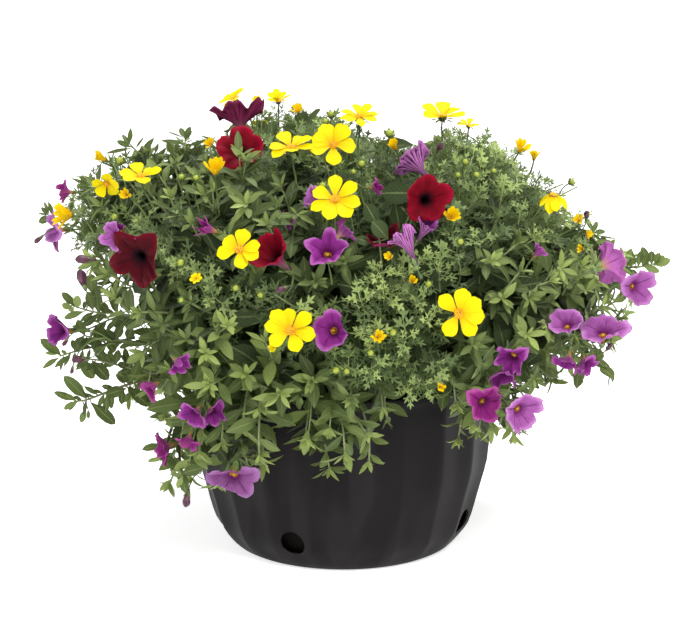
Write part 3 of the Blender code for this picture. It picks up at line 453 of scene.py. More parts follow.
# Buds: cm right, cm high, turn, tilt, length in mm
BUDS = {
    "bidens": [
        (-15.8, 36.8, -10, 50, 6), (-14.4, 36.7, 20, 40, 6), (-22.4, 32.8, -10, 30, 6),
        (-16.0, 28.2, -10, 20, 7), (-16.0, 24.4, 0, 30, 5), (-8.2, 24.9, 20, 30, 6),
        (4.5, 41.1, 10, 60, 8), (4.9, 21.1, 10, 30, 7), (2.7, 19.0, 0, 30, 6),
        (-0.7, 17.2, -20, 30, 7), (0.3, 17.1, 20, 30, 6), (11.5, 30.3, 10, 30, 6),
        (-2.0, 35.9, 0, 50, 7), (8.4, 26.0, 0, 50, 6), (13.0, 37.0, 20, 50, 6),
        (22.3, 36.3, 60, 30, 7), (-10.6, 25.6, 0, 40, 6), (-1.2, 43.0, 0, 60, 7),
        (-1.7, 42.3, -20, 50, 6), (1.8, 38.1, 0, 40, 7), (1.0, 37.3, 0, 40, 5),
        (-21.8, 38.4, 0, 50, 8), (11.9, 38.3, 10, 40, 6), (11.2, 37.0, 0, 40, 5),
        (14.7, 37.4, 10, 40, 5),
    ],
    "calibrachoa": [
        (-24.3, 28.5, -78, 4, 20), (-25.4, 25.4, -40, 70, 23), (-25.2, 18.5, -76, -4, 17),
        (-5.4, 25.8, -50, -10, 14), (-15.5, 4.9, -20, -60, 18), (26.0, 19.2, 40, 50, 12),
        (23.8, 32.4, 0, 60, 13), (-29.4, 31.0, -80, -40, 12), (9.1, 39.2, 30, 50, 14),
        (-27.2, 20.6, -60, -50, 10), (-26.8, 17.8, -40, -70, 9),
    ],
}

# Colours, 0 to 255
LEAF_INKS = {  # dark, middle, light, midrib, how plain the veins are, roughness
    "calibrachoa_leaf": ((35, 50, 15), (89, 106, 56), (156, 174, 94), (144, 156, 104), 0.45, 0.46),
    "petunia_leaf": ((29, 43, 14), (74, 92, 50), (140, 160, 92), (126, 142, 94), 0.5, 0.5),
    "bidens_leaf": ((33, 48, 17), (96, 116, 72), (176, 196, 116), (136, 152, 92), 0.25, 0.5),
}
PLAIN_INKS = {  # foot, end, roughness, share of light let through
    "sepal_green": ((70, 92, 42), (122, 148, 74), 0.5, 0.1),
    "anther_yellow": ((200, 140, 20), (246, 206, 70), 0.6, 0.0),
    "bidens_bud": ((84, 110, 38), (172, 178, 48), 0.5, 0.0),
    "calibrachoa_bud": ((82, 30, 56), (50, 10, 38), 0.5, 0.0),
}
# Funnels: their colours, how plain their veins and their outer stripes are, light let through
VIOLET = dict(
    throat=(214, 150, 24), ring=(74, 6, 62), limb=(132, 44, 128), edge=(178, 104, 174),
    vein=(78, 10, 76), outside=(146, 74, 138), tube_end=(176, 140, 74),
    veins=0.75, stripes=0.0, through=0.14,
)
# Petunia red in two copies painted for how the light falls: this darker one is the shaded copy, the one
# below with a lighter limb and edge is the lit copy
RED = dict(
    throat=(8, 2, 5), ring=(14, 0, 6), limb=(68, 0, 12), edge=(94, 0, 24),
    vein=(24, 0, 5), outside=(150, 52, 96), tube_end=(128, 92, 102),
    veins=0.6, stripes=0.35, through=0.05,
)
LILAC = dict(ring=(104, 26, 96), limb=(164, 92, 164), edge=(198, 140, 200), outside=(184, 104, 178))
FUNNEL_INKS = {
    "calibrachoa_violet": VIOLET,
    "calibrachoa_lilac": VIOLET | LILAC,
    "calibrachoa_magenta": dict(VIOLET, limb=(134, 36, 112), edge=(174, 88, 152), outside=(152, 66, 130)),
    "calibrachoa_dusky": dict(VIOLET, ring=(92, 30, 88), limb=(134, 80, 134), edge=(160, 114, 168)),
    "petunia_red": RED,
    # the lit copy of the petunia red: the same bloom painted lighter, as painted light
    "petunia_lit_red": dict(RED, limb=(112, 0, 22), edge=(140, 2, 38)),
    "petunia_veined": dict(
        throat=(40, 10, 44), ring=(60, 14, 66), limb=(122, 52, 122), edge=(160, 92, 158),
        vein=(58, 12, 56), outside=(188, 118, 184), tube_end=(126, 88, 118),
        veins=0.9, stripes=0.85, through=0.12,
    ),
}
# Places along a bloom and the colours there, inside and outside
INNER_STOPS = [
    (0.0, "throat"), (0.300, "throat"), (0.350, "ring"), (0.56, "limb"), (0.80, "limb"), (1.0, "edge"),
]
OUTER_STOPS = [(0.0, "tube_end"), (0.22, "tube_end"), (0.5, "outside"), (1.0, "outside")]
FUNNEL_PARTS = ["anther_yellow", "sepal_green"]
FLOWER_INKS = {  # petals, centre, green parts, then other shades of petal
    "bidens": ["bidens_yellow", "bidens_disc", "sepal_green"],
    "calibrachoa": [
        "calibrachoa_violet", *FUNNEL_PARTS,
        "calibrachoa_lilac", "calibrachoa_magenta", "calibrachoa_dusky",
    ],
    "petunia_red": ["petunia_red", *FUNNEL_PARTS, "petunia_lit_red"],
    "petunia_veined": ["petunia_veined", *FUNNEL_PARTS],
}
PETAL, CENTRE, GREEN = 0, 1, 2  # material slots
# slot 3 of the red petunia is its lit copy, painted lighter as painted light
SHADES = {"violet": 0, "plain": 0, "lilac": 3, "magenta": 4, "dusky": 5, "crimson": 3}
MATERIALS = {}  # by name; the frame has materials of its own that share some of the names


# ---------------------------------------------------------------- small helpers


def unit(vectors):
    """Scales vectors to length one."""
    return vectors / np.maximum(np.linalg.norm(vectors, axis=-1, keepdims=True), 1e-9)


def toward(bearing, climb):
    """Returns the direction at a bearing from the front and a climb, both in degrees."""
    turn, rise = math.radians(bearing), math.radians(climb)
    flat = math.cos(rise)
    return np.array([math.sin(turn) * flat, -math.cos(turn) * flat, math.sin(rise)])


def bezier(controls, steps):
    """Returns points of a cubic Bezier curve."""
    t = np.linspace(0, 1, steps)[:, None]
    a, b, c, d = (np.asarray(point) for point in controls)
    return a * (1 - t) ** 3 + b * 3 * t * (1 - t) ** 2 + c * 3 * t * t * (1 - t) + d * t**3


def linear(*levels):
    """Turns a colour of 0 to 255 values into scene values."""
    shares = [level / 255 for level in levels]
    return (*(c / 12.92 if c <= 0.04045 else ((c + 0.055) / 1.055) ** 2.4 for c in shares), 1.0)


def turned(axis, spin=0.0):
    """Returns a 3x3 matrix whose third column is an axis, spun about it in radians."""
    side = np.cross(UP, axis)
    if np.linalg.norm(side) < 0.05:
        side = np.array([1.0, 0.0, 0.0])
    side = unit(side)
    over = np.cross(axis, side)
    cos, sin = math.cos(spin), math.sin(spin)
    return np.stack([side * cos + over * sin, over * cos - side * sin, axis], axis=1)


def smooth(value, low, high):
    """Eases from 0 at low to 1 at high."""
    share = np.clip((value - low) / (high - low), 0.0, 1.0)
    return share * share * (3 - 2 * share)


def opened(stem, out, angle, jitter):
    """Returns a direction at an angle from a stem toward one side."""
    return unit(stem * math.cos(angle) + out * math.sin(angle) + jitter)


def grid_faces(rows, columns, closed=False):
    """Returns the quads of a grid of points, row by row."""
    across = columns if closed else columns - 1
    row, column = np.meshgrid(np.arange(rows - 1), np.arange(across), indexing="ij")
    here = (row * columns + column).ravel()
    beside = (row * columns + (column + 1) % columns).ravel()
    return np.stack([here, beside, beside + columns, here + columns], axis=1)


def closed_faces(rows, sides):
    """Returns the quads and caps of stacked rings, whose two end points come last."""
    ring = np.arange(sides)
    after = (ring + 1) % sides
    last, foot, top = (rows - 1) * sides, rows * sides, rows * sides + 1
    foot_cap = np.stack([after, ring, np.full(sides, foot)], axis=1)
    top_cap = np.stack([last + ring, last + after, np.full(sides, top)], axis=1)
    return grid_faces(rows, sides, closed=True), np.concatenate([foot_cap, top_cap])


def ring_turns(sides):
    """Returns the angles of the points of a ring."""
    return np.arange(sides) * FULL_TURN / sides


def rings(radii, heights, turns):
    """Returns points round the third axis, from arrays that are broadcast together."""
    radii, heights, turns = np.broadcast_arrays(radii, heights, turns)
    return np.stack([radii * np.cos(turns), radii * np.sin(turns), heights], axis=-1)


def blades_of(shape, *parts):
    """Returns blade coordinates: across, along and tint, or side, of every point."""
    return np.stack([np.broadcast_to(part, shape) for part in parts], axis=-1)


def ring_blades(rows, sides, tint):
    """Returns the blade coordinates of stacked rings."""
    along = np.linspace(0, 1, rows)[:, None]
    return blades_of((rows, sides), np.arange(sides) / sides, along, tint).reshape(-1, 3)


def add_object(name, data):
    """Adds an object to the scene."""
    made = bpy.data.objects.new(name, data)
    bpy.context.scene.collection.objects.link(made)
    return made


def mesh_from(bm, name):
    """Turns a bmesh into a mesh."""
    mesh = bpy.data.meshes.new(name)
    bm.to_mesh(mesh)
    bm.free()
    return mesh


class Sheaf:
    """Collects the points and faces of one piece."""

    def __init__(self):
        self.points = []
        self.blades = []
        self.faces = {4: [], 3: []}
        self.slots = {4: [], 3: []}
        self.count = 0

    def add(self, points, blades, *groups, slot=0):
        """Adds points with their blade coordinates, and groups of faces numbered from zero."""
        points = np.reshape(points, (-1, 3))
        self.points.append(points)
        self.blades.append(np.broadcast_to(np.reshape(blades, (-1, 3)), points.shape))
        for group in groups:
            corners = group.shape[1]
            self.faces[corners].append(group + self.count)
            self.slots[corners].append(np.full(len(group), slot))
        self.count += len(points)

    def piece(self, name, inks, mapped=False):
        """Makes the mesh object, with a flat map of its leaves if they share a few tints."""
        groups = [np.concatenate(self.faces[size]) for size in (4, 3)]
        corners = np.concatenate([group.ravel() for group in groups])
        sizes = np.repeat([4, 3], [len(group) for group in groups])
        blades = np.concatenate(self.blades)
        mesh = bpy.data.meshes.new(name)
        mesh.vertices.add(self.count)
        mesh.loops.add(len(corners))
        mesh.polygons.add(len(sizes))
        fill(mesh.vertices, "co", np.concatenate(self.points), np.float32)
        fill(mesh.loops, "vertex_index", corners, np.int32)
        fill(mesh.polygons, "loop_start", np.cumsum(sizes) - sizes, np.int32)
        fill(mesh.polygons, "material_index", np.concatenate(self.slots[4] + self.slots[3]), np.int32)
        mesh.update(calc_edges=True)
        mesh.shade_smooth()
        fill(mesh.attributes.new("blade", "FLOAT_VECTOR", "POINT").data, "vector", blades, np.float32)
        if mapped:
            across, along, tint = blades[corners].T
            u = (np.floor(tint * TINTS) + 0.5 + across * 0.46) / TINTS
            flat = np.stack([u, 0.02 + 0.96 * along], axis=1)
            fill(mesh.uv_layers.new(name="OFBake").data, "uv", flat, np.float32)
        for ink in inks:
            mesh.materials.append(MATERIALS[ink])
        return add_object(name, mesh)


def fill(target, key, values, kind):
    """Sets one property of all items of a mesh."""
    target.foreach_set(key, np.ravel(values).astype(kind))


def tube(sheaf, points, radii, sides, tint, slot=0):
    """Adds a round tube with closed ends along points."""
    points = np.asarray(points)
    ahead = unit(np.gradient(points, axis=0))
    side = np.cross(ahead[0], [0.31, 0.27, 0.91])  # no stem runs along this
    turn = ring_turns(sides)[:, None]
    body = []
    for place, along, radius in zip(points, ahead, np.broadcast_to(radii, len(points))):
        side = unit(side - along * np.dot(side, along))
        over = np.cross(along, side)
        body.append(place + radius * (np.cos(turn) * side + np.sin(turn) * over))
    blades = [*ring_blades(len(points), sides, tint), (0, 0, tint), (0, 1, tint)]
    places = np.concatenate([*body, points[[0, -1]]])
    sheaf.add(places, blades, *closed_faces(len(points), sides), slot=slot)


def finish_piece(piece, slot, replaced=()):
    """Rides a piece on the body and hides what it stands for; the slot is not used."""
    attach(piece, BODY)
    if replaced:
        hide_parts(*replaced)


# ---------------------------------------------------------------- materials


class Wire:
    """An output of a node. Arithmetic with it adds Math nodes."""

    def __init__(self, paint, socket):
        self.paint = paint
        self.socket = socket

    def __add__(self, other):
        return self.paint.maths("ADD", self, other)

    def __sub__(self, other):
        return self.paint.maths("SUBTRACT", self, other)

    def __rsub__(self, other):
        return self.paint.maths("SUBTRACT", other, self)

    def __mul__(self, other):
        return self.paint.maths("MULTIPLY", self, other)

    def __abs__(self):
        return self.paint.maths("ABSOLUTE", self)

    def ripple(self, waves):
        """Rises from 0 to 1 and falls back so many times for each unit of the value."""
        return abs(self.paint.maths("SINE", self * (waves * math.pi)))

    def step(self, low, high):
        """Eases from 0 at low to 1 at high."""
        node = self.paint.node("MapRange", Value=self, From_Min=low, From_Max=high)
        node.interpolation_type = "SMOOTHSTEP"
        return self.paint.out(node, "Result")


class Paint:
    """A Principled material and short ways to add nodes. Colours are 0 to 255 values."""

    def __init__(self, name, roughness, **values):
        self.material = MATERIALS[name] = bpy.data.materials.new(name)
        self.material.use_nodes = True
        self.tree = self.material.node_tree
        self.shader = self.tree.nodes["Principled BSDF"]
        self.set(self.shader, Roughness=roughness, **values)

    def put(self, socket, value):
        """Links a socket to a wire, or sets its value."""
        if isinstance(value, Wire):
            self.tree.links.new(value.socket, socket)
        else:
            colour = socket.type == "RGBA"
            socket.default_value = linear(*value) if colour else value

    def set(self, node, **values):
        """Sets inputs of a node by name, with _ for each space."""
        for key, value in values.items():
            self.put(node.inputs[key.replace("_", " ")], value)

    def node(self, kind, *first, **named):
        """Adds a node and sets its first inputs, and others by name."""
        node = self.tree.nodes.new("ShaderNode" + kind)
        for socket, value in zip(node.inputs, first):
            self.put(socket, value)
        self.set(node, **named)
        return node

    def out(self, node, key=0):
        """Returns an output of a node."""
        return Wire(self, node.outputs[key])

    def maths(self, operation, first, second=0.0, clamp=False):
        """Adds a Math node."""
        node = self.node("Math", first, second)
        node.operation = operation
        node.use_clamp = clamp
        return self.out(node)

    def mix(self, share, first, second):
        """Mixes two colours."""
        node = self.tree.nodes.new("ShaderNodeMix")
        node.data_type = "RGBA"
        colours = [socket for socket in node.inputs if socket.type == "RGBA"]
        for socket, value in zip([node.inputs[0], *colours], (share, first, second)):
            self.put(socket, value)
        return self.out(node, 2)

    def ramp(self, value, *stops):
        """Adds a colour ramp with (place, colour) stops."""
        node = self.node("ValToRGB", value)
        elements = node.color_ramp.elements
        while len(elements) < len(stops):
            elements.new(0.5)
        for element, (place, colour) in zip(elements, stops):
            element.position = place
            element.color = linear(*colour)
        return self.out(node, "Color")

    def split(self, vector):
        """Reads the three parts of a vector."""
        node = self.node("SeparateXYZ", vector)
        return [self.out(node, part) for part in range(3)]

    def blade(self):
        """Reads the blade coordinates: all at once, then across, along and tint."""
        node = self.tree.nodes.new("ShaderNodeAttribute")
        node.attribute_name = "blade"
        vector = self.out(node, "Vector")
        return vector, *self.split(vector)

    def place(self):
        """Reads the place in the piece's own space."""
        return self.out(self.node("TexCoord"), "Object")

    def noise(self, vector, scale, detail):
        """Reads a noise texture at a vector."""
        return self.out(self.node("TexNoise", Vector=vector, Scale=scale, Detail=detail), 0)

    def stretched(self, vector, *scale):
        """Scales a vector along its three axes."""
        return self.out(self.node("Mapping", Vector=vector, Scale=scale))

    def bump(self, height, strength, distance):
        """Sends a height to the shader's normal."""
        node = self.node("Bump", Strength=strength, Distance=distance, Height=height)
        self.set(self.shader, Normal=self.out(node))

    def colour(self, colour, through=0.0, glow=None):
        """Sets the colour, and lets a share of the light through the sheet."""
        self.set(self.shader, Base_Color=colour)
        if through > 0.0:
            back = self.node("BsdfTranslucent", glow or colour)
            both = self.node("MixShader", through, self.out(self.shader), self.out(back))
            self.set(self.tree.nodes["Material Output"], Surface=self.out(both))
        return self.material


def leaf_material(name, dark, middle, light, midrib, plainness, roughness):
    """Leaf: a tint from dark to light that stands both for age and for painted light and shade; paler
    midrib and veins, mottled, thin enough to glow.
    """
    paint = Paint(name, roughness, Sheen_Weight=0.12, Sheen_Roughness=0.5, Specular_IOR_Level=0.20)
    vector, across, along, tint = paint.blade()
    aside = abs(across)
    body = paint.ramp(tint, (0.0, dark), (0.5, middle), (1.0, light))
    vein = (along * 7.0 + aside * -2.2).ripple(1).step(0.80, 0.99) * aside.step(1.0, 0.4)
    rib = aside.step(0.14, 0.02)
    cell = paint.noise(paint.stretched(vector, 2.0, 5.0, 23.0), 3.0, 3.0)
    mottle = cell.step(0.30, 0.70)
    body = paint.mix(mottle * 0.35, body, paint.mix(0.5, body, dark))
    body = paint.mix(vein * (plainness * 0.2), body, midrib)
    body = paint.mix(rib * plainness, body, midrib)
    paint.bump(cell * 0.4 - rib - vein * 0.3, 0.35, 0.0006)
    dull = 0.16 - tint * 0.32 + mottle * 0.12
    paint.set(paint.shader, Roughness=dull + (roughness - 0.05))
    return paint.colour(body, 0.24, paint.mix(0.5, body, light))


def stem_material():
    """Stem: ribbed green, browner at the foot and paler at the tip."""
    paint = Paint("stem_green", 0.55, Sheen_Weight=0.1)
    _, around, along, tint = paint.blade()
    body = paint.ramp(along, (0.0, (92, 82, 52)), (0.35, (84, 98, 52)), (1.0, (128, 150, 86)))
    body = paint.mix(paint.noise(paint.place(), 260.0, 2.0) * 0.4, body, (70, 60, 44))
    body = paint.mix(tint * 0.5, body, (112, 66, 60))
    paint.bump(around.ripple(4), 0.3, 0.0004)
    return paint.colour(body)


def ray_material():
    """Bidens petal: clear yellow, deeper at its foot, with fine grooves along it whose troughs are
    painted darker as shade.
    """
    paint = Paint(
        "bidens_yellow", 0.55, Sheen_Weight=0.04, Sheen_Roughness=0.4, Specular_IOR_Level=0.12
    )
    vector, across, along, tint = paint.blade()
    stops = [(0.0, (216, 150, 3)), (0.16, (228, 192, 2)), (0.5, (230, 213, 2)), (1.0, (236, 222, 4))]
    body = paint.ramp(along, *stops)
    body = paint.mix(tint, body, (236, 150, 12))
    groove = across.ripple(3)
    fine = paint.noise(paint.stretched(vector, 9.0, 1.2, 3.0), 4.0, 3.0)
    # painted shade: the troughs of the grooves are painted a darker yellow
    body = paint.mix(groove.step(0.25, 0.0) * 0.30, body, (222, 178, 2))
    body = paint.mix(fine * 0.18, body, (232, 192, 2))
    paint.bump(groove + fine * 0.5, 0.35, 0.0005)
    return paint.colour(body, 0.22)


def disc_material():
    """Bidens disc florets: orange with brown tips."""
    paint = Paint("bidens_disc", 0.6)
    _, _, along, tint = paint.blade()
    body = paint.ramp(along, (0.0, (216, 146, 8)), (0.55, (240, 184, 12)), (1.0, (236, 166, 12)))
    body = paint.mix(tint.step(0.7, 0.95), body, (196, 108, 18))
    body = paint.mix(paint.noise(paint.place(), 900.0, 2.0) * 0.4, body, (250, 200, 40))
    return paint.colour(body)


def funnel_material(name, ink):
    """Petunia or calibrachoa bloom, from its throat to its edge, inside and out."""
    sheen = dict(Sheen_Weight=0.05, Sheen_Roughness=0.35, Sheen_Tint=ink["edge"])
    paint = Paint(name, 0.6, Specular_IOR_Level=0.08, **sheen)
    vector, across, along, side = paint.blade()
    uneven = (paint.noise(paint.place(), 260.0, 1.0) - 0.5) * 0.10
    inner = paint.ramp(along + uneven, *((place, ink[part]) for place, part in INNER_STOPS))
    outer = paint.ramp(along, *((place, ink[part]) for place, part in OUTER_STOPS))
    wobble = paint.noise(paint.stretched(vector, 2.0, 3.0, 1.0), 2.0, 2.0)
    rays = (across * 4.0 + wobble * 1.4).ripple(1)
    fade = along.step(1.0, 0.55) * along.step(0.25, 0.5)
    middle = abs(across).step(0.10, 0.02)
    lines = paint.maths("ADD", rays.step(0.35, 0.0), middle, clamp=True) * fade
    body = paint.mix(side, inner, outer)
    body = paint.mix(lines * ink["veins"], body, ink["vein"])
    bands = (across * 2.0 + wobble * 0.6).ripple(1)
    striped = bands.step(0.75, 0.35) * along.step(1.05, 0.8) * side * ink["stripes"]
    body = paint.mix(striped, body, ink["vein"])
    body = paint.mix(paint.noise(paint.place(), 70.0, 3.0) * 0.25, body, ink["vein"])
    paint.bump(lines + paint.noise(paint.place(), 1400.0, 1.0) * 0.35, 0.30, 0.0005)
    return paint.colour(body, ink["through"])


def plain_plant_material(name, foot, end, roughness, through):
    """Sepals, buds and anthers: a colour along their length with grooves and a fine mottle."""
    paint = Paint(name, roughness, Sheen_Weight=0.1)
    _, across, along, _ = paint.blade()
    body = paint.ramp(along, (0.15, foot), (0.85, end))
    body = paint.mix(paint.noise(paint.place(), 420.0, 2.0) * 0.45, body, foot)
    ribs = across.ripple(5)
    body = paint.mix(ribs.step(0.55, 0.0) * 0.5, body, foot)
    paint.bump(ribs, 0.25, 0.0004)
    return paint.colour(body, through)


def pot_material():
    """Charcoal nursery plastic: satin, faintly grained and streaked, dusty low down, with soft vertical
    bands painted lighter as light on the flutes.
    """
    paint = Paint("charcoal_plastic", 0.5, Specular_IOR_Level=0.07)
    place = paint.place()
    height = paint.split(place)[2]
    broad = paint.noise(place, 9.0, 4.0)
    grain = paint.noise(place, 520.0, 2.0)
    streak = paint.noise(paint.stretched(place, 60.0, 60.0, 3.0), 1.0, 3.0)
    facet_light = paint.noise(paint.stretched(place, 26.0, 26.0, 0.8), 1.0, 1.0)
    body = paint.mix(broad, (21, 19, 20), (28, 26, 27))
    body = paint.mix(streak.step(0.5, 0.8) * 0.35, body, (40, 37, 38))
    # painted highlight: soft vertical bands painted lighter, standing in for light on the flutes
    body = paint.mix(facet_light.step(0.46, 0.60) * 0.55, body, (39, 36, 37))
    dust = height.step(0.012, 0.0) * broad.step(0.35, 0.7) * 0.5
    body = paint.mix(dust, body, (34, 31, 30))
    paint.set(paint.shader, Roughness=grain * 0.10 + dust * 0.3 + broad * 0.12 + 0.40)
    paint.bump(grain * 0.5 + streak, 0.18, 0.0004)
    return paint.colour(body)


def mix_material():
    """Damp peat with fibres and bark; below its surface it is painted near black as the shade inside the
    pot.
    """
    paint = Paint("peat", 0.9, Specular_IOR_Level=0.1)
    place = paint.place()
    height = paint.split(place)[2]
    crumb = paint.out(paint.node("TexVoronoi", Vector=place, Scale=260.0), "Distance")
    cloud = paint.noise(place, 90.0, 5.0)
    body = paint.mix(cloud, (38, 28, 21), (86, 64, 46))
    body = paint.mix(crumb.step(0.0, 0.5), (30, 22, 17), body)
    # painted shade: below its top the mix is painted near black, as the dark inside of the pot seen
    # through the drain holes
    body = paint.mix(height.step(0.15, 0.10), body, (14, 11, 9))
    paint.bump(cloud, 0.8, 0.003)
    return paint.colour(body)


def make_materials():
    """Makes every material of the plants and the pot."""
    for make in (pot_material, mix_material, stem_material, ray_material, disc_material):
        make()
    for name, inks in LEAF_INKS.items():
        leaf_material(name, *inks)
    for name, inks in PLAIN_INKS.items():
        plain_plant_material(name, *inks)
    for name, ink in FUNNEL_INKS.items():
        funnel_material(name, ink)


# ---------------------------------------------------------------- stage


def eye_of(side):
    """Returns the eye's place in front of the pot or behind it."""
    sign = 1.0 if side == "front" else -1.0
    back = np.array([0.0, -sign * math.cos(EYE_PITCH), math.sin(EYE_PITCH)])
    return EYE_TARGET + back * EYE_DISTANCE


def make_camera():
    """Sets the camera at the front, a little above the plants."""
    data = bpy.data.cameras.new("front_camera")
    data.lens = LENS_MM
    data.sensor_width = SENSOR_MM
    data.clip_end = 100.0
    camera = add_object("front_camera", data)
    camera.location = Vector(eye_of("front"))
    camera.rotation_euler = (math.pi / 2 - EYE_PITCH, 0.0, 0.0)
    bpy.context.scene.camera = camera


LIGHTS = {  # place, size, power, colour
    "key_light": ((0.9, -2.1, 2.5), 1.0, 84.0, (1.0, 0.98, 0.95)),
    "fill_light": ((-2.2, -1.4, 1.4), 1.2, 22.0, (0.97, 0.98, 1.0)),
    "top_light": ((0.3, 0.7, 2.8), 1.2, 60.0, (1.0, 1.0, 1.0)),
}
LIGHT_TARGET = Vector((0.0, 0.0, 0.22))
WORLD_STRENGTH = 0.50
FLOOR_COLOURS = ((247, 247, 247), (249.3, 249.3, 249.3))
FLOOR_GLOW = 0.62  # keeps the floor as pale as the photo's background
WHITE = (255, 255, 255)


def make_lights():
    """Adds soft square lights and a pale room."""
    for name, (place, size, power, colour) in LIGHTS.items():
        data = bpy.data.lights.new(name, "AREA")
        data.size = size
        data.energy = power
        data.color = colour
        light = add_object(name, data)
        light.location = place
        light.rotation_euler = (LIGHT_TARGET - Vector(place)).to_track_quat("-Z", "Y").to_euler()
    world = bpy.data.worlds.new("pale_room")
    world.use_nodes = True
    world.node_tree.nodes["Background"].inputs[0].default_value = linear(*WHITE)
    world.node_tree.nodes["Background"].inputs[1].default_value = WORLD_STRENGTH
    bpy.context.scene.world = world
    bpy.context.scene.view_settings.view_transform = "Standard"


def make_floor():
    """Makes the pale floor."""
    bm = bmesh.new()
    bmesh.ops.create_grid(bm, x_segments=8, y_segments=8, size=14.0)
    floor = add_object("floor", mesh_from(bm, "floor"))
    glow = dict(Emission_Color=WHITE, Emission_Strength=FLOOR_GLOW)
    paint = Paint("pale_floor", 0.9, Specular_IOR_Level=0.1, **glow)
    cloud = paint.noise(paint.place(), 1.5, 2.0)
    floor.data.materials.append(paint.colour(paint.mix(cloud, *FLOOR_COLOURS)))


# ---------------------------------------------------------------- the CAD nodes as a guide


def node_places(name):
    """Returns the points of a CAD node."""
    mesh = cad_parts[name].data
    places = np.empty(len(mesh.vertices) * 3, np.float32)
    mesh.vertices.foreach_get("co", places)
    return places.reshape(-1, 3).astype(float)


def crown_of(plant):
    """Returns the top of a plant's crown, from its CAD stems."""
    low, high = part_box(plant + "_stems")
    return np.array([(low.x + high.x) / 2, (low.y + high.y) / 2, low.z + 0.006])


def nearest_plant(point, kind):
    """Returns the plant of a kind whose crown is nearest to a point."""
    names = [name for name in PLANTS if PLANTS[name] == kind]
    return min(names, key=lambda name: np.linalg.norm((crown_of(name) * 1.4 - point)[:2]))


def sight_of(point):
    """Returns where the line from the eye to a point crosses the middle: cm right, cm high."""
    eye = eye_of("front")
    cross = eye + (point - eye) * (-eye[1] / (point[1] - eye[1]))
    return cross[0] * 100, cross[2] * 100


def sight_place(right, high, depth):
    """Returns the place on a front line of sight that lies depth behind the middle."""
    eye = eye_of("front")
    ahead = np.array([right / 100, 0.0, high / 100]) - eye
    return eye + ahead * (depth - eye[1]) / -eye[1]


def height_over_line(point):
    """Returns how many cm a point is above the top of the leafy mass in the front view."""
    right, high = sight_of(point)
    return high - np.interp(right, *zip(*TOP_LINE))


def in_open_side(point):
    """True in the part that only has the set shoots."""
    return point[0] < OPEN_SIDE and point[2] < OPEN_HEIGHT


def zone_at(point):
    """Returns the kind of leaf where a point shows in the front view, and how much lighter or darker its
    leaves are painted there, as painted light and shade.
    """
    right, high = sight_of(point)
    zone = min(ZONE_ROWS, key=lambda row: math.hypot(row[0] - right, row[1] - high))
    *_, shade, kind = zone
    return kind, shade


def kind_at(point, normal, owner):
    """Returns the kind of leaf that grows at a point of the surface, and how much lighter or darker its
    leaves are painted there, as painted light and shade.
    """
    looks = np.dot(normal, unit(eye_of("front") - point))
    behind = BACK_LINE if point[0] > RIGHT_SIDE else 0.0
    if looks > 0.05 or point[1] < behind:
        return zone_at(point)
    return PLANTS[DRAPES.get(owner, owner.replace("_foliage", ""))], 0.0


class Surface:
    """The outside of the CAD foliage."""

    def __init__(self, names):
        corners, owners = [], []
        for name in names:
            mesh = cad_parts[name].data
            mesh.calc_loop_triangles()
            index = np.empty(len(mesh.loop_triangles) * 3, np.int32)
            mesh.loop_triangles.foreach_get("vertices", index)
            corners.append(node_places(name)[index.reshape(-1, 3)])
            owners += [name] * len(mesh.loop_triangles)
        self.corners = np.concatenate(corners)
        self.owners = np.array(owners)
        places = [tuple(place) for place in self.corners.reshape(-1, 3)]
        faces = np.arange(len(places)).reshape(-1, 3).tolist()
        self.tree = BVHTree.FromPolygons(places, faces)

    def samples(self, count, rng):
        """Scatters points over the outside, and returns them with their normals and nodes."""
        first, second, third = self.corners.transpose(1, 0, 2)
        sides = np.cross(second - first, third - first)
        area = np.linalg.norm(sides, axis=1)
        pick = rng.choice(len(area), count, p=area / area.sum())
        share = rng.random((count, 2))
        flip = share.sum(axis=1) > 1
        share[flip] = 1 - share[flip]
        base = first[pick]
        points = base + share[:, :1] * (second[pick] - base) + share[:, 1:] * (third[pick] - base)
        normals = sides[pick] / area[pick][:, None]
        keep = [index for index in range(count) if self.open_air(points[index], normals[index])]
        return list(zip(points[keep], normals[keep], self.owners[pick[keep]]))

    def open_air(self, point, normal):
        """True if a point is neither under the mound nor covered by another node."""
        if normal[2] < -0.25 and math.hypot(point[0], point[1]) < 0.150:
            return False
        return self.tree.ray_cast(Vector(point + normal * 0.0001), Vector(normal), 0.006)[0] is None

    def on_sight(self, right, high, clear):
        """Returns the first place on a line of sight that comes within clear of the foliage."""
        eye = eye_of("front")
        ahead = unit(np.array([right / 100, 0.0, high / 100]) - eye)
        reaches = [SIGHT_START + SIGHT_STEP * count for count in range(SIGHT_STEPS)]
        places = [eye + ahead * reach for reach in reaches]
        gaps = [self.tree.find_nearest(Vector(place))[3] for place in places]
        for place, gap in zip(places, gaps):
            if gap < clear:
                return place
        return places[int(np.argmin(gaps))]


# ---------------------------------------------------------------- leaf shapes

BLADES = {  # share of the length, share of the half-width
    "oblong": [(0.0, 0.10), (0.15, 0.30), (0.35, 0.85), (0.52, 1.0), (0.70, 0.85), (0.87, 0.46)],
    "oval": [(0.0, 0.10), (0.15, 0.38), (0.36, 0.93), (0.54, 1.0), (0.72, 0.92), (0.89, 0.58)],
    "broad": [
        (0.0, 0.09), (0.09, 0.12), (0.20, 0.58), (0.38, 0.95), (0.54, 1.0), (0.74, 0.86), (0.90, 0.52),
    ],
    "plain": [(0.0, 0.10), (0.22, 0.55), (0.55, 1.0), (0.82, 0.70)],
}
BLADE_COLUMNS = {"oblong": 5, "oval": 5, "broad": 5, "plain": 3}
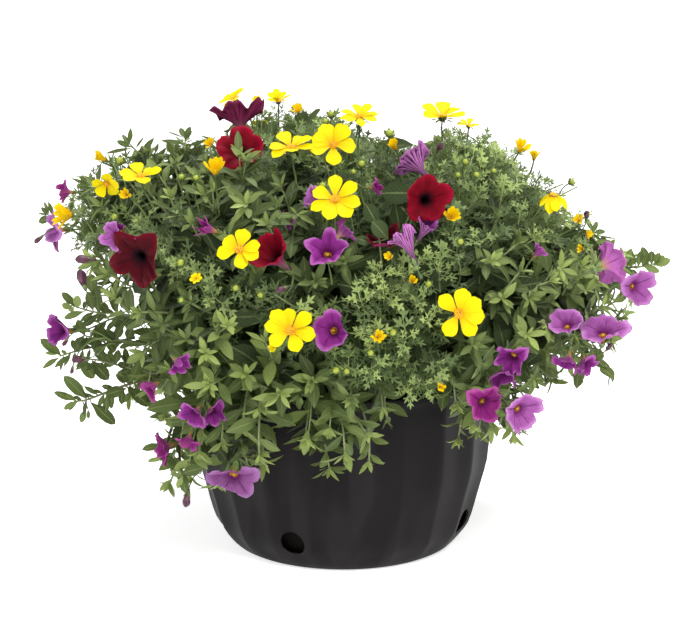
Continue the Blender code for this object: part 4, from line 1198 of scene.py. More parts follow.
# Rows of a lobe: along, aside, lifted edge
LOBE = [(0.0, 0.35, 0.0), (0.40, 1.0, 0.35), (0.76, 0.80, 0.25)]
SIDE_LOBE = [(0.0, 0.38, 0.0), (0.52, 1.04, 0.35)]
# Fern leaves: half-width of a lobe, then place, degrees and length of each pair of leaflets
FERN_LEAVES = {
    "fern": (0.032, [(0.26, 58, 0.38), (0.48, 46, 0.30)]),
    "fern_young": (0.050, [(0.34, 42, 0.42)]),
}
FERN_SHAPES = 3  # how many uneven ones there are of each


def blade_template(rows, columns):
    """Makes a flat leaf of half-width one and length one, with a single point at its tip."""
    x = np.repeat([row[0] for row in rows], columns)
    wide = np.repeat([row[1] for row in rows], columns)
    aside = np.tile(np.linspace(-1, 1, columns), len(rows))
    tip, last = len(x), len(x) - columns
    return dict(
        x=np.append(x, 1.0),
        y=np.append(wide * aside, 0.0),
        z=np.zeros(tip + 1),
        across=np.append(aside, 0.0),
        quads=grid_faces(len(rows), columns),
        triangles=np.array([(last + i, last + i + 1, tip) for i in range(columns - 1)]),
    )


class FernShape:
    """Builds a twice-divided leaf out of narrow lobes, each folded along its middle."""

    def __init__(self, half, pairs, rng):
        """Adds the leaflets, a little uneven, from (place, degrees, length) rows."""
        self.points, self.across, self.quads, self.triangles = [], [], [], []
        self.lobe(np.zeros(2), 0.0, 0.62, half * 0.45, LOBE)
        for place, angle, length in pairs:
            for sign in (-1, 1):
                lean = sign * math.radians(angle + rng.uniform(-12, 12))
                foot = np.array([place + rng.uniform(-0.03, 0.03), 0.0])
                reach = length * rng.uniform(0.75, 1.15)
                self.leaflet(foot, lean, reach, half * rng.uniform(0.8, 1.2))
        self.leaflet(np.array([0.56, 0.0]), rng.uniform(-0.2, 0.2), 0.44, half)

    def lobe(self, base, angle, length, half, rows):
        """Adds one pointed lobe: a middle line with an edge on each side."""
        ahead = np.array([math.cos(angle), math.sin(angle)])
        aside = np.array([-ahead[1], ahead[0]])
        start = len(self.points)
        for along, wide, lift in rows:
            for side in (-1, 0, 1):
                place = base + ahead * length * along + aside * half * wide * side
                self.points.append((*place, half * lift * abs(side)))
        self.points.append((*(base + ahead * length), 0.0))
        self.across += [-1, 0, 1] * len(rows) + [0]
        last = start + 3 * len(rows) - 3
        for row in range(start, last, 3):
            self.quads += [(here, here + 1, here + 4, here + 3) for here in (row, row + 1)]
        self.triangles += [(last, last + 1, last + 3), (last + 1, last + 2, last + 3)]

    def leaflet(self, base, angle, length, half):
        """Adds a lobe with a pair of shorter side lobes."""
        self.lobe(base, angle, length, half, LOBE)
        place = base + np.array([math.cos(angle), math.sin(angle)]) * length * 0.30
        for sign in (-1, 1):
            lean = angle + sign * math.radians(46)
            self.lobe(place, lean, length * 0.52, half * 0.9, SIDE_LOBE)

    def template(self):
        """Returns the shape as arrays."""
        x, y, z = np.array(self.points).T
        return dict(
            x=x, y=y, z=z, across=np.array(self.across, float),
            quads=np.array(self.quads), triangles=np.array(self.triangles),
        )


def make_templates():
    """Makes the leaf shapes."""
    rng = np.random.default_rng(SEEDS["templates"])
    shapes = {name: blade_template(rows, BLADE_COLUMNS[name]) for name, rows in BLADES.items()}
    for number in range(FERN_SHAPES):
        for name, (half, pairs) in FERN_LEAVES.items():
            shapes[f"{name}{number}"] = FernShape(half, pairs, rng).template()
    return shapes


def lay_leaves(sheaf, template, leaves, rng, slot=0):
    """Adds leaves: rows of origin, direction, normal, length, half-width, curl, fold, tint."""
    data = np.array(leaves)[:, None]
    size = len(template["x"])
    one = (len(leaves), 1, 1)
    origin, ahead, normal = data[..., 0:3], unit(data[..., 3:6]), data[..., 6:9]
    normal = unit(normal - ahead * (normal * ahead).sum(axis=-1, keepdims=True))
    side = np.cross(normal, ahead)
    length, half, curl, fold, tint = (data[..., [column]] for column in range(9, 14))
    tint = (np.floor(np.clip(tint, 0.0, 0.999) * TINTS) + 0.5) / TINTS
    x, y, z = (template[key][:, None] for key in "xyz")
    steady = np.where(np.abs(curl) < 1e-3, 1e-3, curl)
    forth = np.sin(steady * x) / steady * length
    drop = (1 - np.cos(steady * x)) / steady * length
    twist = rng.uniform(-0.35, 0.35, one) * x
    wave = rng.uniform(0.02, 0.10, one)
    wave = wave * np.sin(FULL_TURN * (rng.uniform(1.0, 1.9, one) * x + rng.random(one)))
    out = y * half
    lift = np.abs(out) * (np.sin(fold) + wave * np.sign(y)) + z * length
    spread = (side * np.cos(twist) + normal * np.sin(twist)) * (out * np.cos(fold))
    raised = (normal * np.cos(curl * x) + ahead * np.sin(curl * x)) * lift
    points = origin + ahead * forth - normal * drop + spread + raised
    along = np.clip(template["x"], 0, 1)
    blades = blades_of((len(leaves), size), template["across"], along, tint[..., 0])
    steps = np.arange(len(leaves))[:, None, None] * size
    quads = (template["quads"] + steps).reshape(-1, 4)
    triangles = (template["triangles"] + steps).reshape(-1, 3)
    sheaf.add(points, blades, quads, triangles, slot=slot)


# ---------------------------------------------------------------- branches and their leaves

# A shoot's plant, kind of leaf and the way its leaves turn, then its size, its shade (how much
# lighter or darker its leaves are painted, as painted light and shade), how much its leaves turn
# that way and how many cm they may stand above the top line
Shoot = namedtuple("Shoot", "plant kind outward scale shade facing rise", defaults=(1.0, 0.0, 0.55, 0.0))


class Foliage:
    """The leaves and branches of every plant, gathered by plant."""

    def __init__(self, surface, pot, keep_clear):
        self.surface = surface
        self.pot = pot
        self.keep_clear = keep_clear
        self.leaves = {}
        self.branches = {}
        self.rng = np.random.default_rng(SEEDS["foliage"])

    def clear(self, base, tip):
        """True where a leaf hides no flower and stays out of the pot's wall."""
        room = self.keep_clear
        for place in ((base + tip) / 2, tip):
            if self.pot.holds(place):
                return False
            off = place - room["place"]
            for key in ("axis", "view"):
                ahead = (off * room[key]).sum(axis=1)
                aside = np.linalg.norm(off - ahead[:, None] * room[key], axis=1)
                near = (ahead > room["from"]) & (ahead < room[key + "_reach"])
                if np.any(near & (aside < room["radius"])):
                    return False
        return True

    def keep_leaf(self, plant, shape, row):
        """Keeps a leaf row as it is."""
        self.leaves.setdefault((plant, shape), []).append(row)

    def keep_branch(self, plant, path, foot, end):
        """Keeps a branch with its radius at its foot and its end."""
        self.branches.setdefault(plant, []).append((path, foot, end))

    def add_leaf(self, plant, shape, place, form, tint, rise=0.0):
        """Keeps one leaf if it is in nobody's way and under the top line."""
        origin, ahead, normal = place
        length, half, curl, fold = form
        if not self.clear(origin, origin + ahead * length):
            return
        if height_over_line(origin + ahead * length * 0.8) > rise + self.rng.normal(0, LINE_SPREAD):
            return
        row = [*origin, *ahead, *normal, length, half, curl, fold, min(max(tint, 0.0), 1.0)]
        self.keep_leaf(plant, shape, row)

    def add_shoot(self, shoot, path, leafy=None):
        """Adds a branch along path, with leaves on its last stretch that face outward."""
        habit, rng = HABITS[shoot.kind], self.rng
        walked = np.concatenate([[0.0], np.cumsum(np.linalg.norm(np.diff(path, axis=0), axis=1))])
        total = walked[-1]
        leafy = min(leafy or habit["leafy"] * rng.uniform(0.85, 1.15), total * 0.95)
        self.keep_branch(shoot.plant, path, habit["foot"], habit["end"])
        course = unit(np.gradient(path, axis=0))
        spin = rng.uniform(0, FULL_TURN)
        shoot = shoot._replace(shade=shoot.shade + rng.uniform(-0.12, 0.16))
        for place in np.arange(total - leafy, total, habit["step"] * shoot.scale):
            origin = np.array([np.interp(place, walked, path[:, i]) for i in range(3)])
            stem = unit(np.array([np.interp(place, walked, course[:, i]) for i in range(3)]))
            self.add_joint(shoot, origin, stem, spin, (place - (total - leafy)) / leafy)
            spin += GOLDEN_ANGLE if habit["pair"] == 1 else math.pi / 2 + rng.uniform(-0.3, 0.3)
        self.add_tip(shoot, path[-1], course[-1])

    def add_joint(self, shoot, origin, stem, spin, share):
        """Adds the leaf or the pair of leaves at one joint, a share of the leafy part along."""
        habit, rng = HABITS[shoot.kind], self.rng
        for sign in (1, -1)[: habit["pair"]]:
            out = turned(stem, spin)[:, 0] * sign
            angle = math.radians(habit["low"] + (habit["high"] - habit["low"]) * share**1.6)
            angle += rng.uniform(-0.16, 0.16)
            ahead = opened(stem, out, angle, rng.normal(0, 0.10, 3))
            normal = unit(stem - ahead * np.dot(stem, ahead)) * (1.1 - shoot.facing)
            normal = normal + shoot.outward * shoot.facing + UP * 0.35 + rng.normal(0, 0.14, 3)
            size = (1.0 - 0.50 * share**3) * rng.uniform(0.80, 1.12) * shoot.scale
            shape = shoot.kind
            if shape == "fern":
                age = "_young" if share > 0.92 else ""
                shape = f"fern{age}{rng.integers(FERN_SHAPES)}"
            elif share < 0.35:
                shape = "plain"
            tint = 0.30 + 0.30 * share**2 + shoot.shade + rng.uniform(-0.12, 0.12)
            curl, fold = habit["curl"] * rng.uniform(0.2, 1.5), rng.uniform(0.10, 0.42)
            half = habit["half"] * size * rng.uniform(0.9, 1.1)
            form = (habit["leaf"] * size, half, curl, fold)
            self.add_leaf(shoot.plant, shape, (origin, ahead, normal), form, tint, shoot.rise)

    def add_tip(self, shoot, origin, stem):
        """Adds the rosette of young leaves at the end of a shoot."""
        habit, rng = HABITS[shoot.kind], self.rng
        spin = rng.uniform(0, ANY_TURN)
        for share in np.arange(habit["tips"]) / habit["tips"]:
            out = turned(stem, spin)[:, 0]
            spin += GOLDEN_ANGLE
            angle = math.radians(66 - 46 * share) + rng.uniform(-0.30, 0.30)
            ahead = opened(stem, out, angle, rng.normal(0, 0.12, 3))
            normal = stem - ahead * np.dot(stem, ahead) + shoot.outward * 0.15 + UP * 0.1
            size = (0.62 - 0.34 * share) * rng.uniform(0.70, 1.20) * shoot.scale
            shape, half = shoot.kind, habit["half"] * size * rng.uniform(0.75, 1.05)
            if shape == "fern":
                shape, size = f"fern_young{rng.integers(FERN_SHAPES)}", size * 1.15
                half = habit["half"] * size
            tint = 0.30 + habit["young"] * (1.0 + share) + shoot.shade + rng.uniform(-0.10, 0.10)
            form = (habit["leaf"] * size, half, rng.uniform(-0.1, 0.6), rng.uniform(0.15, 0.45))
            self.add_leaf(shoot.plant, shape, (origin, ahead, normal), form, tint, shoot.rise)

    def branch_to(self, crown, tip, heading):
        """Returns a branch from a crown to a tip, rising first and arriving on a heading."""
        reach = np.linalg.norm(tip - crown)
        outward = unit((tip - crown) * LEVEL)
        low = smooth(self.pot.height + 0.05 - tip[2], 0.0, 0.05)
        first = crown + UP * (0.32 * reach + 0.02 + 0.03 * low) + outward * 0.10 * reach
        second = tip - heading * 0.34 * reach + UP * 0.05 * low
        return self.pot.over_the_rim(bezier([crown, first, second, tip], 15))


def grow_sprig(foliage, kind, row):
    """Grows a set shoot and returns its tip."""
    right, high, turn, tilt, leafy, scale, clear = row
    tip = foliage.surface.on_sight(right, high, max(clear, 0.5) / 1000)
    heading = toward(turn, tilt)
    plant = nearest_plant(tip, kind)
    path = foliage.branch_to(crown_of(plant), tip - heading * 0.008, heading)
    outward = unit(unit(eye_of("front") - tip) * 0.6 + UP * 0.5)
    kind, facing = ("oval", 0.95) if in_open_side(tip) else (kind, 0.6)
    shoot = Shoot(plant, kind, outward, scale, zone_at(tip)[1], facing, SPRIG_RISE)
    foliage.add_shoot(shoot, path, leafy / 100)
    return tip


def grow_foliage(foliage):
    """Grows the set shoots, then a branch to each of the evenly spread outer points."""
    rng = np.random.default_rng(SEEDS["grow"])
    samples = foliage.surface.samples(OUTER_SAMPLES, rng)
    search = kdtree.KDTree(len(samples))
    for index, (point, *_) in enumerate(samples):
        search.insert(Vector(point), index)
    search.balance()
    taken = np.zeros(len(samples), bool)

    def claim(point, gap):
        """Marks the outer points near a shoot as taken."""
        for _, other, _ in search.find_range(Vector(point), gap):
            taken[other] = True

    for kind, rows in SPRIGS:
        for row in rows:
            claim(grow_sprig(foliage, kind, row), HABITS[kind]["gap"])
    for index, (point, normal, owner) in enumerate(samples):
        if taken[index] or in_open_side(point):
            continue
        kind, shade = kind_at(point, normal, owner)
        if kind != "none":
            claim(point, HABITS[kind]["gap"] * (1.2 if normal[2] < -0.4 else 1.0))
            grow_outer(foliage, kind, shade, point, normal, rng)


def grow_outer(foliage, kind, shade, point, normal, rng):
    """Grows one branch to a point of the surface."""
    plant = nearest_plant(point, kind)
    radial = unit(point * LEVEL)
    heading = unit(normal * 0.75 + UP * 0.45 + radial * 0.25 + rng.normal(0, 0.28, 3))
    if point[2] < foliage.pot.height + 0.02:
        heading = unit(normal * 0.8 - UP * 0.25 + radial * 0.2 + rng.normal(0, 0.30, 3))
    tip = point - normal * HABITS[kind]["inset"] * rng.uniform(0.3, 1.3)
    tip = tip - UP * max(height_over_line(tip) + 0.7, 0.0) / 100
    crown = crown_of(plant) + rng.normal(0, 0.005, 3) * LEVEL
    path = foliage.branch_to(crown, tip, heading)
    # painted shade: leaves on the underside of the mound are tinted darker
    shade -= 0.10 if normal[2] < -0.2 else 0.0
    foliage.add_shoot(Shoot(plant, kind, normal, rng.uniform(0.88, 1.10), shade), path)


def fill_inside(foliage):
    """Adds old leaves under the outer ones in two layers, which close the mound; their dark tint stands
    both for age and for painted shade deep in the mound.
    """
    rng = np.random.default_rng(SEEDS["inside"])
    for count, depths, lengths in INNER_LAYERS:
        for point, normal, owner in foliage.surface.samples(count, rng):
            if in_open_side(point - np.array([0.025, 0.0, 0.0])):
                continue
            if depths[1] < HOLLOW_DEPTH and kind_at(point, normal, owner)[0] == "none":
                continue
            origin = point - normal * rng.uniform(*depths)
            hit, facing, _, gap = foliage.surface.tree.find_nearest(Vector(origin))
            if gap < 0.018 or (hit - Vector(origin)).dot(facing) < 0:
                continue
            side = turned(normal, rng.uniform(0, ANY_TURN))[:, 0]
            ahead = unit(side + normal * rng.uniform(-0.1, 0.5))
            up = unit(normal + rng.normal(0, 0.35, 3))
            size = rng.uniform(*lengths)
            form = (size, size * 0.27, rng.uniform(0.2, 0.9), 0.25)
            place = (origin - ahead * size / 2, ahead, up)
            plant = nearest_plant(point, "broad")
            foliage.add_leaf(plant, "plain", place, form, rng.uniform(0.0, 0.18))


def fill_middle(foliage):
    """Adds old leaves deep in the mound, so that no light comes straight through it; their dark tint
    stands both for age and for painted shade.
    """
    rng = np.random.default_rng(SEEDS["middle"])
    for _ in range(MIDDLE_LEAVES):
        bearing = rng.uniform(0, FULL_TURN)
        radial = np.array([math.sin(bearing), math.cos(bearing), 0.0])
        middle = radial * MIDDLE_RADIUS * math.sqrt(rng.random()) + UP * rng.uniform(*MIDDLE_HEIGHTS)
        ahead = unit(UP + rng.normal(0, 0.6, 3))
        size = rng.uniform(0.048, 0.066)
        place = (middle - ahead * size / 2, ahead, unit(radial + rng.normal(0, 0.5, 3)))
        form = (size, size * 0.29, rng.uniform(0.2, 0.7), 0.2)
        plant = nearest_plant(middle, "broad")
        foliage.add_leaf(plant, "plain", place, form, rng.uniform(0.0, 0.15))


def through(points, steps):
    """Returns a smooth curve through points."""
    ends = [2 * points[0] - points[1], *points, 2 * points[-1] - points[-2]]
    curve = []
    for before, start, end, after in zip(ends, ends[1:], ends[2:], ends[3:]):
        first, second = start + (end - before) / 6, end - (after - start) / 6
        curve.append(bezier([start, first, second, end], steps)[:-1])
    return np.vstack([*curve, [points[-1]]])


def add_twig_leaf(foliage, plant, base, tip, half, curl, tint, rng):
    """Adds a leaf that faces the front, from its base to its tip."""
    reach = np.linalg.norm(tip - base)
    normal = unit(eye_of("front") - base) + UP * 0.25 + rng.normal(0, 0.16, 3)
    row = [*base, *unit(tip - base), *normal, reach, half, curl, rng.uniform(0.04, 0.20), tint]
    foliage.keep_leaf(plant, "oblong" if half < 0.16 * reach else "oval", row)


def add_small_leaves(foliage, plant, curve, rng):
    """Adds small slender leaves along a twig that stands against the light."""
    for place in np.arange(3, len(curve) - 1, TWIG_GAP):
        base, after = curve[int(place)], curve[int(place) + 1]
        ahead = unit(after - base)
        lean = rng.choice([-1, 1]) * rng.uniform(0.4, 1.2)
        aside = np.cross(ahead, unit(eye_of("front") - base))
        reach = rng.uniform(0.010, 0.021)
        tip = base + unit(ahead * math.cos(lean) + aside * math.sin(lean)) * reach
        if foliage.clear(base, tip):
            half, tint = reach * rng.uniform(0.12, 0.19), rng.uniform(0.05, 0.42)
            add_twig_leaf(foliage, plant, base, tip, half, 0.3, tint, rng)


def grow_twigs(foliage):
    """Grows the set twigs, leaf by leaf."""
    rng = np.random.default_rng(SEEDS["twigs"])
    for plant, depth, stem, leaves in TWIGS:
        if depth is None:
            depth = foliage.surface.on_sight(*leaves[0][:2], 0.003)[1] * 100
        sway = rng.uniform(-0.004, 0.004, len(stem))
        points = [sight_place(*place, depth / 100 + off) for place, off in zip(stem, sway)]
        path = curve = through(points, 7)
        if plant in PLANTS:
            heading = unit(points[1] - points[0])
            lead = foliage.branch_to(crown_of(plant), points[0], heading)
            path = np.vstack([lead[:-1], curve])
        foliage.keep_branch(plant, path, 0.0015, 0.0008)
        for *places, half, tint in leaves:
            base = sight_place(places[0], places[1], depth / 100)
            joint = curve[np.argmin(np.linalg.norm(curve - base, axis=1))]
            base[1] = joint[1]
            tip = sight_place(places[2], places[3], joint[1] + rng.normal(0, 0.003))
            if np.linalg.norm(base - joint) > 0.0006:
                stalk = bezier([joint, (joint + base) / 2, base, base], 5)
                foliage.keep_branch(plant, stalk, 0.0007, 0.0005)
            curl = rng.uniform(0.0, 0.35)
            add_twig_leaf(foliage, plant, base, tip, half * TWIG_WIDTH / 1000, curl, tint, rng)
        if in_open_side(curve[-1]):
            add_small_leaves(foliage, plant, curve, rng)


def grow_sprays(foliage):
    """Grows the other trailing shoots that have CAD nodes of their own."""
    set_already = {row[0] for row in TWIGS}
    for name in SPRAYS:
        if name in set_already:
            continue
        places = node_places(name)
        distance = np.hypot(places[:, 0], places[:, 1])
        tip = places[np.argmax(distance)]
        foot = places[distance < distance.min() + 0.012].mean(axis=0)
        heading = unit(tip - foot)
        start = foot - heading * 0.05 + UP * 0.01
        middle = (foot + tip) / 2 + UP * 0.004
        path = bezier([start, foot, middle, tip - heading * 0.026], 12)
        outward = unit(UP * 0.6 - np.array([0.0, 1.0, 0.0]))
        foliage.add_shoot(Shoot(name, "oval", outward, 0.95, 0.0, 0.9), path, np.linalg.norm(tip - foot))


def make_leaf_pieces(foliage, templates):
    """Turns the gathered leaves and branches into pieces."""
    for plant in [*PLANTS, *SPRAYS]:
        rng = np.random.default_rng(len(plant))
        leaves, stems = Sheaf(), Sheaf()
        for shape, template in templates.items():
            if (plant, shape) in foliage.leaves:
                lay_leaves(leaves, template, foliage.leaves[plant, shape], rng)
        for path, foot, end in foliage.branches[plant]:
            radii = np.linspace(foot, end, len(path))
            tube(stems, path, radii, BRANCH_SIDES, rng.random() * 0.4)
        slot = LEAF_SLOTS[PLANTS.get(plant, "oblong")]
        label, covered, crown = plant.replace("shoot", "spray"), [plant], []
        if plant in PLANTS:
            covered = [plant + "_foliage", *(name for name in DRAPES if DRAPES[name] == plant)]
            crown = [plant + "_stems"]
        leaves = leaves.piece(label + "_leaves", [slot], mapped=True)
        finish_piece(stems.piece(label + "_branches", ["stem_green"]), "stem", crown)
        finish_piece(leaves, slot, covered)


# ---------------------------------------------------------------- flowers

# A flower: kind, its CAD node or None, place and axis of its head, radius, number of petals
# or shade and shape, degrees of spin, how open, share of the room in front kept clear
Flower = namedtuple("Flower", "kind node place axis radius look spin openness room")

HEAD_TOPS = {"bidens": 0.15}  # how far a CAD head's top is above its petals, in radii
OTHER_HEAD_TOP = 0.04
PETAL_WIDTHS = [
    (0.0, 0.24), (0.10, 0.33), (0.22, 0.50), (0.36, 0.73), (0.50, 0.91), (0.63, 1.0),
    (0.75, 0.97), (0.85, 0.84), (0.925, 0.65), (0.975, 0.41), (1.0, 0.16),
]
PETAL_COLUMNS = 7
# Turned profiles: radius and height as shares of the flower's radius or the bud's size
BIDENS_BOWL = [(0.0, -0.20), (0.10, -0.19), (0.17, -0.10), (0.20, 0.0)]
CALYX_CUP = [(0.0, -0.08), (0.07, -0.06), (0.115, 0.03), (0.105, 0.14)]
BIDENS_BUD = [
    (0.02, -1.0), (0.55, -0.80), (0.92, -0.25), (0.95, 0.25), (0.66, 0.70), (0.25, 0.92), (0.02, 0.95),
]
CALIBRACHOA_BUD = [
    (0.3, 0.0), (0.55, 0.25), (0.8, 0.5), (1.0, 0.68), (0.85, 0.84), (0.4, 0.96), (0.05, 1.0),
]
TUBE = [  # radius and height as shares of the flower's radius, place along the bloom
    (0.070, -0.96, 0.0), (0.075, -0.80, 0.08), (0.085, -0.62, 0.16), (0.095, -0.48, 0.24),
]
LIMB_START = (0.110, -0.40, 0.30)
LIMB_ROWS = 10
LOBE_SIDES = 12  # points round the edge of one lobe
SKIN = 0.00035  # half the thickness of a petal, in metres
# Notch between lobes, its sharpness, point on a lobe, unevenness of the lobes, fold along
# each lobe, depth of the tube
FUNNEL_STYLE = {
    "calibrachoa": dict(notch=0.26, sharp=2.2, point=0.04, tilt=0.62, fold=0.13, deep=0.95),
    "petunia_red": dict(notch=0.34, sharp=1.6, point=0.08, tilt=0.48, fold=0.12, deep=1.05),
    "petunia_veined": dict(notch=0.20, sharp=2.4, point=0.05, tilt=0.36, fold=0.10, deep=1.15),
}
VARIANTS = {
    "star": dict(notch=0.44, sharp=1.6, point=0.07, tilt=0.50, fold=0.18),
    "round": dict(notch=0.17, sharp=2.2, point=0.02, tilt=0.34),
    "soft": dict(notch=0.25, sharp=1.9, point=0.04, tilt=0.48),
    "cup": dict(notch=0.09, sharp=2.4, point=0.02, tilt=0.10, fold=0.05),
    "spiky": dict(notch=0.66, sharp=0.9, point=0.10, tilt=0.55, fold=0.05),
}
CALYX_PLACE = -0.98  # of the depth of the tube
SHUT_ANGLE = math.radians(84)
CUP_ANGLE = math.radians(75)
FRONT_FLOWERS = 0.16  # flowers nearer than this keep the front view clear, the others the back
ROOM_SHARE, ROOM_FROM, ROOM_AHEAD, ROOM_IN_VIEW = 0.92, -0.004, 0.030, 0.090


class Head:
    """A flower or bud being made. Its own space has its axis as the third one."""

    def __init__(self, sheaf, place, axis, spin, rng, leaf):
        self.sheaf = sheaf
        self.place = place
        self.axis = axis
        self.turn = turned(axis, spin)
        self.rng = rng
        self.leaf = leaf  # the shape of its sepals

    def world(self, local):
        """Turns points of the head's own space into places."""
        return self.place + np.asarray(local) @ self.turn.T

    def add_turned(self, profile, scale, sides, slot, lift=0.0, folds=0, depth=0.0, twist=0.0):
        """Adds a turned solid from (radius, height) rows, with optional folds and a twist."""
        wide, high = (np.array(profile) * scale).T[:, :, None]
        turn = ring_turns(sides)
        swing = turn + np.linspace(0, twist, len(profile))[:, None]
        points = rings(wide * (1 + depth * np.cos(folds * turn)), high + lift, swing)
        faces = grid_faces(len(profile), sides, closed=True)
        blades = ring_blades(len(profile), sides, 0.0)
        self.sheaf.add(self.world(points), blades, faces, slot=slot)

    def add_sepals(self, number, length, half, rise, depth, start):
        """Adds narrow green leaflets round the foot of a flower."""
        rows = []
        for count in range(number):
            turn = (count + 0.5) * FULL_TURN / number + self.rng.uniform(-0.1, 0.1)
            out = np.array([math.cos(turn), math.sin(turn), 0.0])
            ahead = out * math.cos(rise) + UP * math.sin(rise)
            normal = UP * math.cos(rise) - out * math.sin(rise)
            ways = [*(ahead @ self.turn.T), *(normal @ self.turn.T)]
            bends = [self.rng.uniform(-0.3, 0.5), 0.3, self.rng.random()]
            rows.append([*self.world(out * start + UP * depth), *ways, length, half, *bends])
        lay_leaves(self.sheaf, self.leaf, rows, self.rng, GREEN)

    def add_petal(self, azimuth, reach, half, rise, old):
        """Adds one notched, grooved ray petal."""
        along, wide = np.array(PETAL_WIDTHS).T[:, :, None]
        across = np.linspace(-1, 1, PETAL_COLUMNS)[None]
        groove = np.cos(3 * math.pi * across)
        inner = reach * 0.13
        length = reach - inner
        steep = rise - self.rng.uniform(0.15, 0.50) * along
        steps = np.diff(along, axis=0)
        run = np.cumsum(np.vstack([[[0.0]], steps * np.cos(steep[1:])]), axis=0)
        climb = np.cumsum(np.vstack([[[0.0]], steps * np.sin(steep[1:])]), axis=0)
        notched = along * (1 - 0.05 * across**2 * along**3) + 0.014 * along**8 * groove
        stretch = notched / np.maximum(along, 1e-6)
        stretch[0] = 1.0
        aside = across * wide * half
        cup = self.rng.uniform(0.05, 0.22) * half * across**2 * wide
        height = climb * stretch * length + cup - 0.035 * half * groove * np.sin(math.pi * along)
        height = height + aside * self.rng.uniform(-0.18, 0.18)
        out = inner + run * stretch * length
        cos, sin = math.cos(azimuth), math.sin(azimuth)
        points = np.stack([out * cos - aside * sin, out * sin + aside * cos, height], axis=-1)
        blades = blades_of(aside.shape, across, along, old)
        faces = grid_faces(len(along), PETAL_COLUMNS)
        self.sheaf.add(self.world(points.reshape(-1, 3)), blades, faces, slot=PETAL)

    def add_florets(self, radius, lift, number):
        """Adds a domed disc of small upright florets."""
        for count in range(number):
            share = math.sqrt((count + 0.5) / number)
            turn = count * GOLDEN_ANGLE
            out = np.array([math.cos(turn), math.sin(turn), 0.0]) * radius * share
            base = out + UP * (radius * 0.35 * (1 - share * share) - 0.0004 + lift)
            lean = unit(out * 0.55 + UP * radius)
            size = radius * (0.30 if share > 0.55 else 0.22) * self.rng.uniform(0.8, 1.2)
            path = self.world([base, base + lean * size * 0.4, base + lean * size * 0.8])
            radii = np.array([0.14, 0.17, 0.08]) * radius
            tube(self.sheaf, path, radii, 5, self.rng.random(), CENTRE)

    def add_bidens(self, radius, petals, openness, turns):
        """Adds the petals, florets and bracts of a bidens, and returns the depth of its foot."""
        shut = abs(1 - openness) ** 0.8 * (1 if openness <= 1 else -1)
        closed = SHUT_ANGLE * shut
        half = radius * min(2.02 / petals, 0.355) * (0.85 + 0.15 * min(openness, 1))
        old, long = (0.0, 1.0) if openness > 0.5 else (0.3, 1.2)
        if turns is None:
            turns = [count * 360 / petals + self.rng.uniform(-9, 9) for count in range(petals)]
        for count, turn in enumerate(turns):
            reach = radius * self.rng.uniform(0.88, 1.04) * long
            rise = closed + 0.12 * (count % 2) + self.rng.uniform(-0.12, 0.26)
            self.add_petal(math.radians(turn), reach, half * self.rng.uniform(0.86, 1.08), rise, old)
        self.add_florets(radius * 0.17, radius * 0.03, 42 if radius > 0.012 else 18)
        self.add_turned(BIDENS_BOWL, radius, 12, GREEN)
        bracts = np.array([0.34, 0.06]) * radius
        self.add_sepals(8, *bracts, closed - 0.35, -0.10 * radius, 0.14 * radius)
        return radius * 0.2

    def add_funnel(self, kind, radius, look, openness):
        """Adds a trumpet of two skins with its calyx, and returns the depth of its foot."""
        shade, *shapes = look.split()
        style = dict(FUNNEL_STYLE[kind])
        for shape in shapes:
            style.update(VARIANTS[shape])
        turn, wide, high, across, share = funnel_surface(style, openness, self.rng)
        skin = SKIN / radius
        inner = rings(wide, high, turn)
        outer = rings(wide + skin * (1 - smooth(share, 0.3, 0.6)), high - skin, turn)
        grid = np.concatenate([outer, inner[::-1]]) * radius
        side = np.concatenate([np.ones(wide.shape), np.zeros(wide.shape)])
        blades = blades_of(side.shape, across, np.concatenate([share, share[::-1]]), side)
        faces = grid_faces(len(side), len(turn), closed=True)
        self.sheaf.add(self.world(grid.reshape(-1, 3)), blades, faces, slot=SHADES[shade])
        depth = CALYX_PLACE * style["deep"] * radius
        self.add_sepals(5, radius * 0.50, radius * 0.085, math.radians(72), depth, 0.08 * radius)
        self.add_turned(CALYX_CUP, radius, 10, GREEN, depth)
        if kind == "calibrachoa":
            self.add_anthers(radius, -0.36)
        return radius * FUNNEL_STYLE[kind]["deep"] * 1.02

    def add_anthers(self, radius, depth):
        """Adds five anthers and a stigma in the throat."""
        spots = [(0.045, turn + 0.3, depth) for turn in ring_turns(5)] + [(0.0, 0.0, depth + 0.04)]
        for out, angle, height in spots:
            top = np.array([math.cos(angle) * out, math.sin(angle) * out, height])
            foot = top * np.array([0.6, 0.6, 1.0]) - UP * 0.3
            rows = np.stack([foot, (foot + top) / 2, top, top + UP * 0.05])
            radii = np.array([0.008, 0.008, 0.024, 0.014]) * radius
            tube(self.sheaf, self.world(rows * radius), radii, 6, 0.0, CENTRE)

    def add_bidens_bud(self, length):
        """Adds a round bud in two rows of bracts, and returns the depth of its foot."""
        radius = length / 2
        self.add_turned(BIDENS_BUD, radius, 24, PETAL, folds=8, depth=0.13)
        self.add_sepals(8, radius * 1.5, radius * 0.24, 0.5, -0.8 * radius, 0.3 * radius)
        self.add_sepals(6, radius * 1.5, radius * 0.42, 1.05, -0.7 * radius, 0.75 * radius)
        return length / 2.2

    def add_calibrachoa_bud(self, length):
        """Adds a long, twisted bud in its calyx, and returns the depth of its foot."""
        radius = length * 0.20
        self.add_turned(CALIBRACHOA_BUD, (radius, length), 20, PETAL, folds=5, depth=0.16, twist=1.1)
        self.add_sepals(5, length * 0.52, radius * 0.42, 1.25, -0.02 * length, 0.22 * radius)
        return 0.0

